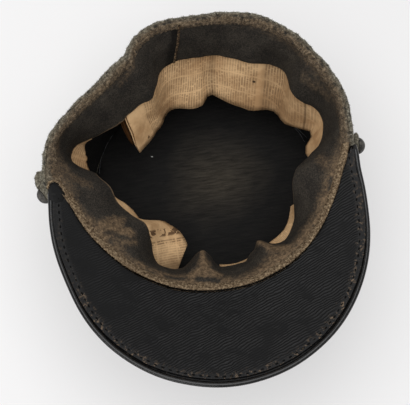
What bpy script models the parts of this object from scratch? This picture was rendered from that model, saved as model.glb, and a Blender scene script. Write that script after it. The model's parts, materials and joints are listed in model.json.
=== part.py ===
"""A kepi cap that lies on its crown with its open side up.

Metres, +Z up. The origin is the centre of the crown top's outer face, which is what the cap rests on.
The peak points along -Y. A bearing is an angle in degrees about the cap, from +X towards +Y, so the
peak's middle is at -90 and the back of the cap is at 90.
"""

from collections import namedtuple
from math import cos, degrees, hypot, radians, sin, sqrt

import bmesh
import bpy
from mathutils import Matrix, Vector

# Cloth side wall and crown top
CROWN_RADIUS = 0.080
RIM_WIDTH = 0.192
RIM_LENGTH = 0.176
RIM_HEIGHT = 0.095
RIM_RISE = 0.0215
RIM_OFFSET_X = -0.0045
RIM_OFFSET_Y = 0.002
WALL_FULLNESS = 2.2
CLOTH = 0.0024
HEM_THICKNESS = 0.0044
HEM_DEPTH = 0.012
CROWN_EDGE_ROUND = 0.0009

# Black cotton lining
LINING = 0.0010
LINING_ROOM = 0.0010

# Leather sweatband, stitched to the rim and folded inwards
BAND_WIDTH = 0.036
BAND_LEATHER = 0.0012
BAND_TOP_DEPTH = 0.0012
BAND_ROOM = 0.0015

# Leather peak
PEAK_LENGTH = 0.0665
PEAK_RISE_ANGLE = 20.0
PEAK_BOARD = 0.0017
PEAK_ROOM = 0.0005
PEAK_LINING = 0.0010
PEAK_BEAD = 0.0034
PEAK_TIP_LEFT = 187.0
PEAK_TIP_RIGHT = 355.0
PEAK_TIP_MARGIN = 1.0
PEAK_MEET_ANGLE = 6.0

# Cloth chin strap and its two buttons
STRAP_WIDTH = 0.014
STRAP_CLOTH = 0.0018
STRAP_DEPTH = 0.015
STRAP_CLEAR = 0.0005
STRAP_FOLD_SHARE = 0.09
BUTTON_RADIUS = 0.0052
BUTTON_HEIGHT = 0.0042
BUTTON_ROOM = 0.0005
BUTTON_LEFT_SHARE = 0.09
BUTTON_RIGHT_SHARE = 0.97

# Folded newspaper, tucked between lining and sweatband
PAPER_WIDTH = 0.070
PAPER_PAD = 0.0012
PAPER_ROOM = 0.0006
PAPER_CLEAR = 0.0023
PAPER_FOLLOW = 0.6
PAPER_TUCK = 0.6
PAPER_LEFT_TUCK = 0.9

# Gap between neighbouring pieces, and the steps between sections, in degrees but for the strap's, which
# are shares of its length
GAP = 0.0003
ROUND_STEP = 5.0
BAND_STEP = 2.5
PAPER_STEP = 3.4
PEAK_STEP = 4.2
STRAP_STEP = 0.025
STRAP_FOLD_STEP = 0.010
BUTTON_SIDES = 14
SHARP_ANGLE = 50.0

# Outline of the rim in plan: its radius as a share of the ellipse that the width and length give
Outline = namedtuple("Outline", "bearing share")
RIM_OUTLINE = [
    Outline(0, 0.990),
    Outline(18, 1.020),
    Outline(33, 1.025),
    Outline(41, 1.040),
    Outline(54, 1.045),
    Outline(63, 1.040),
    Outline(70, 1.020),
    Outline(80, 0.995),
    Outline(90, 0.980),
    Outline(101, 0.985),
    Outline(107, 0.970),
    Outline(114, 0.930),
    Outline(121, 0.860),
    Outline(127, 0.860),
    Outline(133, 0.845),
    Outline(141, 0.860),
    Outline(149, 0.890),
    Outline(157, 0.930),
    Outline(164, 0.985),
    Outline(169, 1.012),
    Outline(180, 1.022),
    Outline(189, 0.965),
    Outline(193, 0.950),
    Outline(200, 0.945),
    Outline(216, 0.950),
    Outline(235, 0.975),
    Outline(255, 1.005),
    Outline(269, 1.010),
    Outline(282, 1.020),
    Outline(297, 1.015),
    Outline(316, 0.985),
    Outline(335, 0.955),
    Outline(346, 0.960),
    Outline(353, 0.985),
]

# Levels of the wall between crown and rim, as shares of its height
WALL_LEVELS = (0.12, 0.30, 0.56)

# The turned top of the hem, from outside to inside: depth and inset, as shares of the hem's thickness
Turn = namedtuple("Turn", "depth inset")
HEM_TURN = [
    Turn(1.00, 0.00),
    Turn(0.30, 0.10),
    Turn(0.00, 0.38),
    Turn(0.00, 0.62),
    Turn(0.30, 0.90),
    Turn(1.00, 1.00),
]

# Outline of the peak: how far it reaches out from its seam along the slope, as a share of its length
Reach = namedtuple("Reach", "bearing share")
PEAK_OUTLINE = [
    Reach(187, 0.120),
    Reach(193, 0.205),
    Reach(202, 0.315),
    Reach(217, 0.500),
    Reach(229, 0.680),
    Reach(240, 0.820),
    Reach(256, 0.950),
    Reach(269, 1.000),
    Reach(281, 0.960),
    Reach(294, 0.860),
    Reach(308, 0.695),
    Reach(323, 0.485),
    Reach(335, 0.310),
    Reach(348, 0.145),
    Reach(355, 0.080),
]

# Rolled edge of the peak, from its lower face round to its upper one: how far in from the edge, as a
# share of the bead's width, and how far up, as a share of the peak's thickness
Bead = namedtuple("Bead", "inward up")
BEAD_OUTLINE = [
    Bead(0.50, 0.00),
    Bead(0.15, 0.20),
    Bead(0.00, 0.50),
    Bead(0.15, 0.85),
    Bead(0.50, 1.10),
    Bead(1.00, 0.83),
]

# Folds of the sweatband: how far its free edge leans in from the lining, and how far its top rolls in,
# both as shares of its width
Fold = namedtuple("Fold", "bearing lean roll")
BAND_FOLDS = [
    Fold(5, 0.29, 0.06),
    Fold(16, 0.17, 0.06),
    Fold(30, 0.43, 0.06),
    Fold(43, 0.19, 0.06),
    Fold(60, 0.41, 0.06),
    Fold(80, 0.27, 0.06),
    Fold(92, 0.28, 0.06),
    Fold(100, 0.33, 0.06),
    Fold(107, 0.43, 0.06),
    Fold(114, 0.60, 0.06),
    Fold(126, 0.50, 0.06),
    Fold(138, 0.46, 0.06),
    Fold(145, 0.49, 0.06),
    Fold(156, 0.31, 0.06),
    Fold(163, 0.10, 0.06),
    Fold(169, 0.16, 0.06),
    Fold(173, 0.38, 0.12),
    Fold(178, 0.70, 0.12),
    Fold(185, 0.79, 0.12),
    Fold(195, 0.72, 0.20),
    Fold(208, 0.78, 0.24),
    Fold(220, 0.84, 0.24),
    Fold(226, 0.74, 0.24),
    Fold(232, 0.54, 0.24),
    Fold(238, 0.39, 0.24),
    Fold(246, 0.41, 0.24),
    Fold(252, 0.50, 0.24),
    Fold(257, 0.69, 0.24),
    Fold(262, 0.80, 0.24),
    Fold(266, 0.74, 0.24),
    Fold(272, 0.51, 0.24),
    Fold(281, 0.51, 0.24),
    Fold(287, 0.49, 0.24),
    Fold(290, 0.58, 0.24),
    Fold(294, 0.60, 0.24),
    Fold(298, 0.73, 0.24),
    Fold(304, 0.51, 0.24),
    Fold(310, 0.40, 0.24),
    Fold(319, 0.43, 0.24),
    Fold(330, 0.58, 0.24),
    Fold(343, 0.76, 0.20),
    Fold(350, 0.75, 0.20),
    Fold(357, 0.57, 0.12),
]

# Shares of the way down the sweatband at which its section has a point
BAND_LEVELS = (0, 0.18, 0.42, 0.70, 1)

# Lower edge of each folded newspaper: how far it reaches in from the lining and how far down from the
# rim it hangs, both as shares of the paper's width, and how far it swings round, in degrees
Edge = namedtuple("Edge", "bearing reach hang swing")
PAPER_BACK_EDGE = [
    Edge(3, 0.20, 0.84, 0),
    Edge(8, 0.23, 0.85, 0),
    Edge(15, 0.12, 0.85, 0),
    Edge(22, 0.24, 0.86, 0),
    Edge(28, 0.30, 0.88, 0),
    Edge(35, 0.27, 0.92, 0),
    Edge(50, 0.41, 0.95, 0),
    Edge(60, 0.42, 0.95, 0),
    Edge(75, 0.34, 0.95, 0),
    Edge(79, 0.31, 0.95, 0),
    Edge(84, 0.42, 0.95, 0),
    Edge(91, 0.44, 0.95, 0),
    Edge(110, 0.38, 0.95, 0),
    Edge(124, 0.39, 0.95, 2),
    Edge(138, 0.45, 0.88, 12),
]
PAPER_FRONT_EDGE = [
    Edge(187, 0.32, 0.58, 0),
    Edge(193, 0.40, 0.60, 0),
    Edge(202, 0.44, 0.64, 0),
    Edge(208, 0.44, 0.70, 0),
    Edge(212, 0.51, 0.74, 0),
    Edge(221, 0.59, 0.74, 0),
    Edge(233, 0.60, 0.74, 0),
    Edge(243, 0.56, 0.74, 0),
    Edge(248, 0.50, 0.74, 0),
]
PAPER_LEFT_EDGE = [
    Edge(157, 0.05, 0.64, 0),
    Edge(165, 0.03, 0.64, 0),
    Edge(169, 0.16, 0.66, 0),
    Edge(174, 0.26, 0.66, 0),
]
PAPER_RIGHT_EDGE = [
    Edge(272, 0.31, 0.62, 0),
    Edge(286, 0.29, 0.62, 0),
    Edge(296, 0.30, 0.62, 0),
    Edge(305, 0.30, 0.62, 0),
    Edge(318, 0.27, 0.62, 0),
    Edge(331, 0.31, 0.62, 0),
]

# Run of the chin strap: its bearing and its stand-off from the wall as a share of its width, by the share
# of the way along it. Its left end is folded back on itself, clear of the wall
Strap = namedtuple("Strap", "along bearing lift")
STRAP_RUN = [
    Strap(0.000, 182.6, 0.33),
    Strap(0.015, 180.4, 0.34),
    Strap(0.035, 178.4, 0.24),
    Strap(0.055, 180.0, 0.14),
    Strap(0.090, 185.0, 0.20),
    Strap(0.160, 196.0, 0.0),
    Strap(0.500, 270.0, 0.0),
    Strap(0.900, 345.0, 0.0),
    Strap(0.970, 357.0, 0.13),
    Strap(1.000, 361.0, 0.16),
]

# Half outline of a button: distance from its axis and height, as shares of its radius and height
Dome = namedtuple("Dome", "radius height")
BUTTON_OUTLINE = [
    Dome(0.00, 1.00),
    Dome(0.30, 0.95),
    Dome(0.60, 0.78),
    Dome(0.85, 0.48),
    Dome(1.00, 0.14),
    Dome(0.88, 0.00),
    Dome(0.00, 0.00),
]


def mix(first, second, share):
    return first + (second - first) * share


def curve_through(rows, column, by="bearing", around=False):
    """A function that runs smoothly, without overshoot, through one column of a table by another."""
    places = [getattr(row, by) for row in rows]
    values = [getattr(row, column) for row in rows]
    if around:
        places = [places[-1] - 360, *places, places[0] + 360]
        values = [values[-1], *values, values[0]]
    steps = list(zip(places, places[1:], values, values[1:]))
    slopes = [(late - early) / (end - start) for start, end, early, late in steps]
    turns = [2 * a * b / (a + b) if a * b > 0 else 0.0 for a, b in zip(slopes, slopes[1:])]
    turns = [turns[-1], *turns, turns[0]] if around else [slopes[0], *turns, slopes[-1]]

    def value(place):
        if around:
            place = (place - places[0]) % 360 + places[0]
        place = min(max(place, places[0]), places[-1])
        step = next(i for i, (_, end, _, _) in enumerate(steps) if place <= end)
        start, end, early, late = steps[step]
        length = end - start
        t = (place - start) / length
        near = (1 + 2 * t) * (1 - t) ** 2 * early + t * (1 - t) ** 2 * length * turns[step]
        far = t * t * (3 - 2 * t) * late - t * t * (1 - t) * length * turns[step + 1]
        return near + far

    return value


def spread(start, end, step):
    """Evenly spaced numbers from start to end, both included, about a step apart."""
    count = round((end - start) / step)
    return [mix(start, end, i / count) for i in range(count + 1)]


# Places on the cap, which every piece shares
rim_share = curve_through(RIM_OUTLINE, "share", around=True)


def rim_radius(bearing):
    """Radius of the wall's outer face at the rim, from the rim's own centre."""
    angle = radians(bearing)
    ellipse = 1 / hypot(cos(angle) / (RIM_WIDTH / 2), sin(angle) / (RIM_LENGTH / 2))
    return ellipse * rim_share(bearing)


def rim_height(bearing):
    return RIM_HEIGHT + RIM_RISE * rim_radius(bearing) * sin(radians(bearing)) / RIM_LENGTH


def wall_point(bearing, share, inset):
    """A point at a share of the way up from crown to rim, set in from the wall's outer face."""
    angle = radians(bearing)
    widening = 1 - (1 - share) ** WALL_FULLNESS
    radius = mix(CROWN_RADIUS, rim_radius(bearing), widening) - inset
    x = widening * RIM_OFFSET_X + radius * cos(angle)
    y = widening * RIM_OFFSET_Y + radius * sin(angle)
    return Vector((x, y, share * rim_height(bearing)))


def below_rim(bearing, depth, inset):
    """A point at a depth below the rim, set in from the wall's outer face."""
    return wall_point(bearing, 1 - depth / rim_height(bearing), inset)


def bend(start, control, end, share):
    """A point along the quadratic curve from start to end that the control point pulls."""
    return start.lerp(control, share).lerp(control.lerp(end, share), share)


# Making of meshes
def new_object(name, mesh, material):
    thing = bpy.data.objects.new(name, mesh)
    thing.data.materials.append(material)
    collection.objects.link(thing)
    return thing


def loft(name, sections, material, ring=False, solid=False):
    """A surface through sections with equal numbers of points. A ring's last section joins its first,
    and a solid's sections are closed outlines."""
    shape = bmesh.new()
    rows = [[shape.verts.new(point) for point in section] for section in sections]
    following = rows[1:] + rows[:1] if ring else rows[1:]
    for row, after in zip(rows, following):
        pairs = list(zip(range(len(row)), range(1, len(row))))
        if solid:
            pairs.append((len(row) - 1, 0))
        for near, far in pairs:
            shape.faces.new((row[near], row[far], after[far], after[near]))
    if solid and not ring:
        shape.faces.new(reversed(rows[0]))
        shape.faces.new(rows[-1])
    bmesh.ops.recalc_face_normals(shape, faces=shape.faces)
    mesh = bpy.data.meshes.new(name)
    shape.to_mesh(mesh)
    shape.free()
    mesh.shade_smooth()
    mesh.set_sharp_from_angle(angle=radians(SHARP_ANGLE))
    return new_object(name, mesh, material)


def thicken(thing, thickness):
    """Gives an open surface its wall, half to each side."""
    wall = thing.modifiers.new("Wall", "SOLIDIFY")
    wall.thickness = thickness
    wall.offset = 0
    wall.use_even_offset = False
    return thing


def disc(name, radius, thickness, bottom, edge_round, material):
    """A flat round piece that lies level about the crown's axis."""
    shape = bmesh.new()
    centre = Matrix.Translation((0, 0, bottom + thickness / 2))
    bmesh.ops.create_cone(
        shape,
        cap_ends=True,
        segments=round(360 / ROUND_STEP),
        radius1=radius,
        radius2=radius,
        depth=thickness,
        matrix=centre,
    )
    mesh = bpy.data.meshes.new(name)
    shape.to_mesh(mesh)
    shape.free()
    thing = new_object(name, mesh, material)
    if edge_round:
        rounding = thing.modifiers.new("Rounding", "BEVEL")
        rounding.width = edge_round
        rounding.segments = 1
        rounding.limit_method = "ANGLE"
    return thing


def finish(name, colour, roughness, metallic=0.0):
    material = bpy.data.materials.new(name)
    material.use_nodes = True
    shader = material.node_tree.nodes["Principled BSDF"]
    shader.inputs["Base Color"].default_value = (*colour, 1)
    shader.inputs["Roughness"].default_value = roughness
    shader.inputs["Metallic"].default_value = metallic
    return material


# Cloth shell
WALL_BOTTOM = CLOTH + GAP
PEAK_SEAT = PEAK_LINING + PEAK_ROOM + PEAK_BOARD + 2 * GAP


def peak_presence(bearing):
    """1 where the peak covers the rim, 0 where the rim is bare, with a smooth slope past each tip."""
    middle = mix(PEAK_TIP_LEFT, PEAK_TIP_RIGHT, 0.5)
    from_middle = abs((bearing - middle + 180) % 360 - 180)
    covered = (PEAK_TIP_RIGHT - PEAK_TIP_LEFT) / 2 + PEAK_TIP_MARGIN
    beyond = min(max((from_middle - covered) / PEAK_MEET_ANGLE, 0.0), 1.0)
    return 1 - beyond * beyond * (3 - 2 * beyond)


def wall_top(bearing):
    """Depth of the wall's top below the rim: the peak's sewn margin lies over it."""
    return PEAK_SEAT * peak_presence(bearing)


def wall_section(bearing):
    """The closed outline of cloth: up the outside, over the turned-in hem and down the inside."""
    height = rim_height(bearing)
    top = wall_top(bearing)
    levels = (WALL_BOTTOM / height, *WALL_LEVELS)
    hem_end = top + HEM_DEPTH + HEM_THICKNESS - CLOTH
    outer = [wall_point(bearing, level, 0) for level in levels]
    over = [
        below_rim(bearing, top + turn.depth * HEM_THICKNESS, turn.inset * HEM_THICKNESS)
        for turn in HEM_TURN
    ]
    hem = [below_rim(bearing, top + HEM_DEPTH, HEM_THICKNESS), below_rim(bearing, hem_end, CLOTH)]
    inner = [wall_point(bearing, level, CLOTH) for level in levels]
    return outer + over + hem + inner[::-1]


def make_crown_top():
    return disc("crown_top", CROWN_RADIUS, CLOTH, 0, CROWN_EDGE_ROUND, wool)


def make_crown_side():
    sections = [wall_section(bearing) for bearing in spread(0, 360, ROUND_STEP)[:-1]]
    return loft("crown_side", sections, wool, ring=True, solid=True)


# Lining
LINING_INSET = CLOTH + LINING_ROOM + LINING / 2
LINING_FACE = CLOTH + LINING_ROOM + LINING
LINING_TOP_DEPTH = HEM_DEPTH + HEM_THICKNESS


def make_lining_top():
    radius = CROWN_RADIUS - LINING_FACE - GAP
    return disc("lining_top", radius, LINING, WALL_BOTTOM, 0, cotton)


def make_lining_side():
    bottom = WALL_BOTTOM + GAP
    sections = []
    for bearing in spread(0, 360, ROUND_STEP)[:-1]:
        height = rim_height(bearing)
        low = bottom / height
        high = 1 - (LINING_TOP_DEPTH + wall_top(bearing)) / height
        sections.append([wall_point(bearing, share, LINING_INSET) for share in (low, *WALL_LEVELS, high)])
    return thicken(loft("lining_side", sections, cotton, ring=True), LINING)


# Sweatband
BAND_TOP_INSET = HEM_THICKNESS + GAP + BAND_LEATHER / 2
band_lean = curve_through(BAND_FOLDS, "lean", around=True)
band_roll = curve_through(BAND_FOLDS, "roll", around=True)


def band_edge(bearing):
    """Depth and inset of the sweatband's free edge."""
    lean = band_lean(bearing) * BAND_WIDTH
    depth = sqrt(BAND_WIDTH**2 - lean**2)
    return depth, LINING_FACE + BAND_ROOM + lean


def band_section(bearing):
    depth, inset = band_edge(bearing)
    roll = band_roll(bearing) * BAND_WIDTH
    start = below_rim(bearing, BAND_TOP_DEPTH, BAND_TOP_INSET)
    crest = below_rim(bearing, 0, BAND_TOP_INSET + roll)
    end = below_rim(bearing, depth, inset)
    return [bend(start, crest, end, level) for level in BAND_LEVELS]


def make_sweatband():
    sections = [band_section(bearing) for bearing in spread(0, 360, BAND_STEP)[:-1]]
    return thicken(loft("sweatband", sections, sweat_leather, ring=True), BAND_LEATHER)


# Folded newspaper
def paper_section(bearing, tuck, edge):
    """From behind the sweatband, round its free edge and on to the paper's own lower edge."""
    depth, inset = band_edge(bearing)
    behind = LINING_FACE + PAPER_ROOM + PAPER_PAD / 2
    around_inset = max(inset - PAPER_CLEAR, behind)
    around = below_rim(bearing, depth + PAPER_CLEAR, around_inset)
    start = below_rim(bearing, depth * tuck, mix(behind, around_inset, tuck * PAPER_FOLLOW))
    reach = LINING_FACE + PAPER_PAD + edge.reach * PAPER_WIDTH
    end = below_rim(bearing + edge.swing, edge.hang * PAPER_WIDTH, reach)
    return [start, start.lerp(around, 0.5), around, around.lerp(end, 0.5), end]


def make_paper(name, rows, tuck):
    """A pad that starts behind the sweatband, at a share of the way down it."""
    curves = [curve_through(rows, column) for column in ("reach", "hang", "swing")]
    sections = []
    for bearing in spread(rows[0].bearing, rows[-1].bearing, PAPER_STEP):
        edge = Edge(bearing, *(curve(bearing) for curve in curves))
        sections.append(paper_section(bearing, tuck, edge))
    return thicken(loft(name, sections, newsprint), PAPER_PAD)


# Peak
peak_reach = curve_through(PEAK_OUTLINE, "share")


def peak_place(bearing, out, up):
    """A point out from the peak's seam along its slope, and up from the lining's face."""
    angle = radians(bearing)
    seam = below_rim(bearing, 0, HEM_THICKNESS)
    rise = radians(PEAK_RISE_ANGLE)
    level = out * cos(rise) - up * sin(rise)
    return seam + Vector((level * cos(angle), level * sin(angle), out * sin(rise) + up * cos(rise)))


def peak_length(bearing):
    """Distance along the slope from the seam to the outer edge."""
    return PEAK_LENGTH * peak_reach(bearing)


def peak_section(bearing):
    """The patent board, with its edge rolled up level with the lining."""
    length = peak_length(bearing)
    top = -PEAK_LINING - PEAK_ROOM
    bottom = top - PEAK_BOARD
    board_end = length - PEAK_BEAD
    middle = mix(GAP, board_end, 0.5)
    outline = [(middle, top), (GAP, top), (GAP, bottom), (middle, bottom)]
    outline += [(length - bead.inward * PEAK_BEAD, mix(bottom, 0, bead.up)) for bead in BEAD_OUTLINE]
    outline.append((board_end, top))
    return [peak_place(bearing, out, up) for out, up in outline]


def peak_lining_section(bearing):
    end = peak_length(bearing) - PEAK_BEAD - PEAK_ROOM
    across = (GAP, mix(GAP, end, 0.5), end)
    outline = [(out, -PEAK_LINING) for out in across] + [(out, 0) for out in across[::-1]]
    return [peak_place(bearing, out, up) for out, up in outline]


def make_peak():
    bearings = spread(PEAK_TIP_LEFT, PEAK_TIP_RIGHT, PEAK_STEP)
    sections = [peak_section(bearing) for bearing in bearings]
    return loft("peak", sections, patent_leather, solid=True)


def make_peak_lining():
    bearings = spread(PEAK_TIP_LEFT + PEAK_TIP_MARGIN, PEAK_TIP_RIGHT - PEAK_TIP_MARGIN, PEAK_STEP)
    sections = [peak_lining_section(bearing) for bearing in bearings]
    return loft("peak_lining", sections, grained_leather, solid=True)


# Chin strap and buttons
strap_bearing = curve_through(STRAP_RUN, "bearing", by="along")
strap_lift = curve_through(STRAP_RUN, "lift", by="along")


def make_chin_strap():
    places = spread(0, STRAP_FOLD_SHARE, STRAP_FOLD_STEP)[:-1] + spread(STRAP_FOLD_SHARE, 1, STRAP_STEP)
    depths = (STRAP_DEPTH - STRAP_WIDTH / 2, STRAP_DEPTH, STRAP_DEPTH + STRAP_WIDTH / 2)
    sections = []
    for along in places:
        inset = -(STRAP_CLEAR + STRAP_CLOTH / 2 + strap_lift(along) * STRAP_WIDTH)
        sections.append([below_rim(strap_bearing(along), depth, inset) for depth in depths])
    return thicken(loft("chin_strap", sections, wool), STRAP_CLOTH)


def make_button(name, along):
    """A turned dome whose back lies against the strap, at a share of the way along it."""
    bearing = strap_bearing(along)
    profile = bpy.data.meshes.new(name)
    points = [(dome.radius * BUTTON_RADIUS, 0, dome.height * BUTTON_HEIGHT) for dome in BUTTON_OUTLINE]
    profile.from_pydata(points, [(i, i + 1) for i in range(len(points) - 1)], [])
    button = new_object(name, profile, button_metal)
    turning = button.modifiers.new("Turning", "SCREW")
    turning.steps = BUTTON_SIDES
    turning.render_steps = BUTTON_SIDES
    turning.use_merge_vertices = True
    turning.merge_threshold = 0.00001
    half = degrees(BUTTON_RADIUS / rim_radius(bearing))
    onward = below_rim(bearing + half, STRAP_DEPTH, 0) - below_rim(bearing - half, STRAP_DEPTH, 0)
    above = below_rim(bearing, STRAP_DEPTH - BUTTON_RADIUS, 0)
    outward = onward.cross(above - below_rim(bearing, STRAP_DEPTH + BUTTON_RADIUS, 0)).normalized()
    seat = STRAP_CLEAR + strap_lift(along) * STRAP_WIDTH + STRAP_CLOTH + BUTTON_ROOM
    button.rotation_mode = "QUATERNION"
    button.rotation_quaternion = outward.to_track_quat("Z", "Y")
    button.location = below_rim(bearing, STRAP_DEPTH, 0) + outward * seat
    return button


for leftover in list(bpy.data.objects):
    bpy.data.objects.remove(leftover)
collection = bpy.data.collections.new("kepi_cap")
bpy.context.scene.collection.children.link(collection)

wool = finish("wool", (0.16, 0.17, 0.14), 0.9)
cotton = finish("cotton", (0.012, 0.011, 0.011), 0.8)
sweat_leather = finish("sweat_leather", (0.05, 0.04, 0.03), 0.6)
newsprint = finish("newsprint", (0.50, 0.36, 0.20), 0.9)
patent_leather = finish("patent_leather", (0.008, 0.008, 0.008), 0.2)
grained_leather = finish("grained_leather", (0.016, 0.016, 0.017), 0.45)
button_metal = finish("button_metal", (0.03, 0.03, 0.03), 0.4, metallic=0.6)

make_crown_top()
make_crown_side()
make_lining_top()
make_lining_side()
make_sweatband()
make_paper("paper_back", PAPER_BACK_EDGE, PAPER_TUCK)
make_paper("paper_front", PAPER_FRONT_EDGE, PAPER_TUCK)
make_paper("paper_left", PAPER_LEFT_EDGE, PAPER_LEFT_TUCK)
make_paper("paper_right", PAPER_RIGHT_EDGE, PAPER_TUCK)
make_peak()
make_peak_lining()
make_chin_strap()
make_button("button_left", BUTTON_LEFT_SHARE)
make_button("button_right", BUTTON_RIGHT_SHARE)
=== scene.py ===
"""The looks of a kepi cap that lies on its crown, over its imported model. Metres, +Z up."""

import json
import random
from math import atan2, cos, degrees, exp, hypot, pi, radians, sin

import bmesh
import bpy
from mathutils import Matrix, Vector, geometry, kdtree, noise

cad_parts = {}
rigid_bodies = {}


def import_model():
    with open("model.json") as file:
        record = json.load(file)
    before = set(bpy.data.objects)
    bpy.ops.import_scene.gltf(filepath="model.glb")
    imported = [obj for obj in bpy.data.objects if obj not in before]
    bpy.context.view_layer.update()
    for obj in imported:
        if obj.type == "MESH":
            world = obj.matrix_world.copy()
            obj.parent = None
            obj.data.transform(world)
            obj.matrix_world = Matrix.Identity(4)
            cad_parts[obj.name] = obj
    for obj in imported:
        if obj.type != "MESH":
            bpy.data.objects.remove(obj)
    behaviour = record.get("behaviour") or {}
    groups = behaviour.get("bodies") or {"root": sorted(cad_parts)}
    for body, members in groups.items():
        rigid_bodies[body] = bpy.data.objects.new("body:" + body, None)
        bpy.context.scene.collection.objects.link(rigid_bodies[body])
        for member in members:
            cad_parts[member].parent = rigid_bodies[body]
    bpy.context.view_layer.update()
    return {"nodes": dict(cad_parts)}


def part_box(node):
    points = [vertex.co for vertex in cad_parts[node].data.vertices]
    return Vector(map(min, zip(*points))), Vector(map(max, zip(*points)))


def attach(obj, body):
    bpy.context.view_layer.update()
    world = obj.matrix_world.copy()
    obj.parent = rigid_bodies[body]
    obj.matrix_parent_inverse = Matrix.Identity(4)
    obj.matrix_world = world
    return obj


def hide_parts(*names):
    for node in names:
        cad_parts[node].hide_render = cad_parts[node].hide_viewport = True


for startup_object in list(bpy.data.objects):
    bpy.data.objects.remove(startup_object)

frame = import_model()

# Camera, where the photograph was taken from: high over the floor, a little to the front and left.
CAMERA_RISE = radians(75)
CAMERA_TURN = radians(-8)
CAMERA_DISTANCE = 0.95
CAMERA_AIM = Vector((-0.0055, -0.021, 0.060))
CAMERA_LENS = 131.97

towards_camera = Vector(
    (
        sin(CAMERA_TURN) * cos(CAMERA_RISE),
        -cos(CAMERA_TURN) * cos(CAMERA_RISE),
        sin(CAMERA_RISE),
    )
)
bpy.ops.object.camera_add(
    location=CAMERA_AIM + CAMERA_DISTANCE * towards_camera,
    rotation=towards_camera.to_track_quat("Z", "Y").to_euler(),
)
camera = bpy.context.object
camera.name = "photo_camera"
camera.data.lens = CAMERA_LENS
bpy.context.scene.camera = camera
bpy.context.scene.view_settings.view_transform = "Standard"

# Light and floor: a white room, a large soft light overhead, and a pale matte floor
# that is lit so well that a shadow hardly shows on it.
ROOM_LIGHT = 0.50
SOFT_LIGHT_PLACE = Vector((-0.08, -0.02, 1.45))
SOFT_LIGHT_WIDTH = 1.5
SOFT_LIGHT_POWER = 17.2
FLOOR_WIDTH = 8.0
FLOOR_DROP = 0.0002
FLOOR_COLOUR = (0.48, 0.477, 0.478)
FLOOR_GLOW = (0.362, 0.360, 0.361)
GLINT_PLACE = Vector((-0.70, -0.80, 0.60))
GLINT_SIZES = (1.3, 0.07)
GLINT_POWER = 2.6

room = bpy.data.worlds.new("white_room")
room.use_nodes = True
room.node_tree.nodes["Background"].inputs["Color"].default_value = (1, 1, 1, 1)
room.node_tree.nodes["Background"].inputs["Strength"].default_value = ROOM_LIGHT
bpy.context.scene.world = room


def new_area_light(name, place, power):
    """A square light at a place, aimed at the middle of the cap's crown."""
    aim = place.to_track_quat("Z", "Y").to_euler()
    bpy.ops.object.light_add(type="AREA", location=place, rotation=aim)
    light = bpy.context.object
    light.name = name
    light.data.energy = power
    return light


soft_light = new_area_light("soft_light", SOFT_LIGHT_PLACE, SOFT_LIGHT_POWER)
soft_light.data.size = SOFT_LIGHT_WIDTH

# A low narrow light, which draws the thin highlights along the peak's edge
glint_light = new_area_light("glint_light", GLINT_PLACE, GLINT_POWER)
glint_light.data.shape = "RECTANGLE"
glint_light.data.size, glint_light.data.size_y = GLINT_SIZES

bpy.ops.mesh.primitive_plane_add(size=FLOOR_WIDTH, location=(0, 0, -FLOOR_DROP))
floor = bpy.context.object
floor.name = "pale_floor"


def new_finish(name, roughness, **constants):
    """A material whose shader has these constant sockets."""
    material = bpy.data.materials.new(name)
    material.use_nodes = True
    shader = material.node_tree.nodes["Principled BSDF"]
    shader.inputs["Roughness"].default_value = roughness
    for socket, value in constants.items():
        shader.inputs[socket.replace("_", " ")].default_value = value
    return material


def put_on(piece, material):
    piece.data.materials.clear()
    piece.data.materials.append(material)


floor_paint = new_finish(
    "floor_paint",
    0.9,
    Base_Color=(*FLOOR_COLOUR, 1),
    Emission_Color=(*FLOOR_GLOW, 1),
    Emission_Strength=1.0,
)
put_on(floor, floor_paint)


# Wool cloth shell: the side wall with its turned-in hem and the round crown top, cut from grey-green
# felted cloth. Its nap stands up as short hairs, and moths have left a few dark holes along the rim.
RIM_CENTRE = Vector((-0.0045, 0.002, 0))
RIM_HEIGHT = 0.095
RIM_SLOPE = 0.0215 / 0.176
CLOTH_SWAY = 0.0007
CLOTH_SWAY_SIZE = 0.013
PEAK_STILLNESS = 0.35
PEAK_MIDDLE = 271
PEAK_HALF = 87
PEAK_BORDER = (-12, 4)
TIP_BEARING = 184.5
TIP_SPREAD = 5.0
TIP_PUSH = 0.0035
TIP_DROPS = (0.040, 0.010)
TIP_INSETS = (0.012, 0.004)
CLOTH_LUMP = 0.00075
CLOTH_LUMP_SIZE = 0.0026
# Depth below the rim of its own thick nap and its holes
RIM_ZONE = 0.009
# Where the cloth is rubbed brown, and where it is eaten thin, from least to most
RUB_INSETS = (0.0012, 0.0042)
RUB_DROPS = (0.016, 0.008)
CREST_INSETS = (0.0035, 0.0015)
CREST_DROPS = (0.0055, 0.002)
# A moth hole's radius, the share of it that is fully dark, and how it is drawn out along the rim
HOLE_SIZE = 0.0015
HOLE_HEART = 0.45
HOLE_ACROSS = 0.6
HOLE_ALONG = 0.3
HOLE_INSETS = (0.0034, 0.0046)
HOLE_DROPS = (-0.0004, 0.0002)
# Bearings of the larger moth holes
MOTH_HOLES = [102, 98, 95.8, 83.5, 81, 75, 68, 65.5, 62, 51.5, 47, 36.5, 28, 19, 9, 183]

noise.seed_set(5)


def new_piece(name, mesh):
    piece = bpy.data.objects.new(name, mesh)
    bpy.context.scene.collection.objects.link(piece)
    return piece


def make_active(piece):
    bpy.ops.object.select_all(action="DESELECT")
    piece.select_set(True)
    bpy.context.view_layer.objects.active = piece


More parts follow.
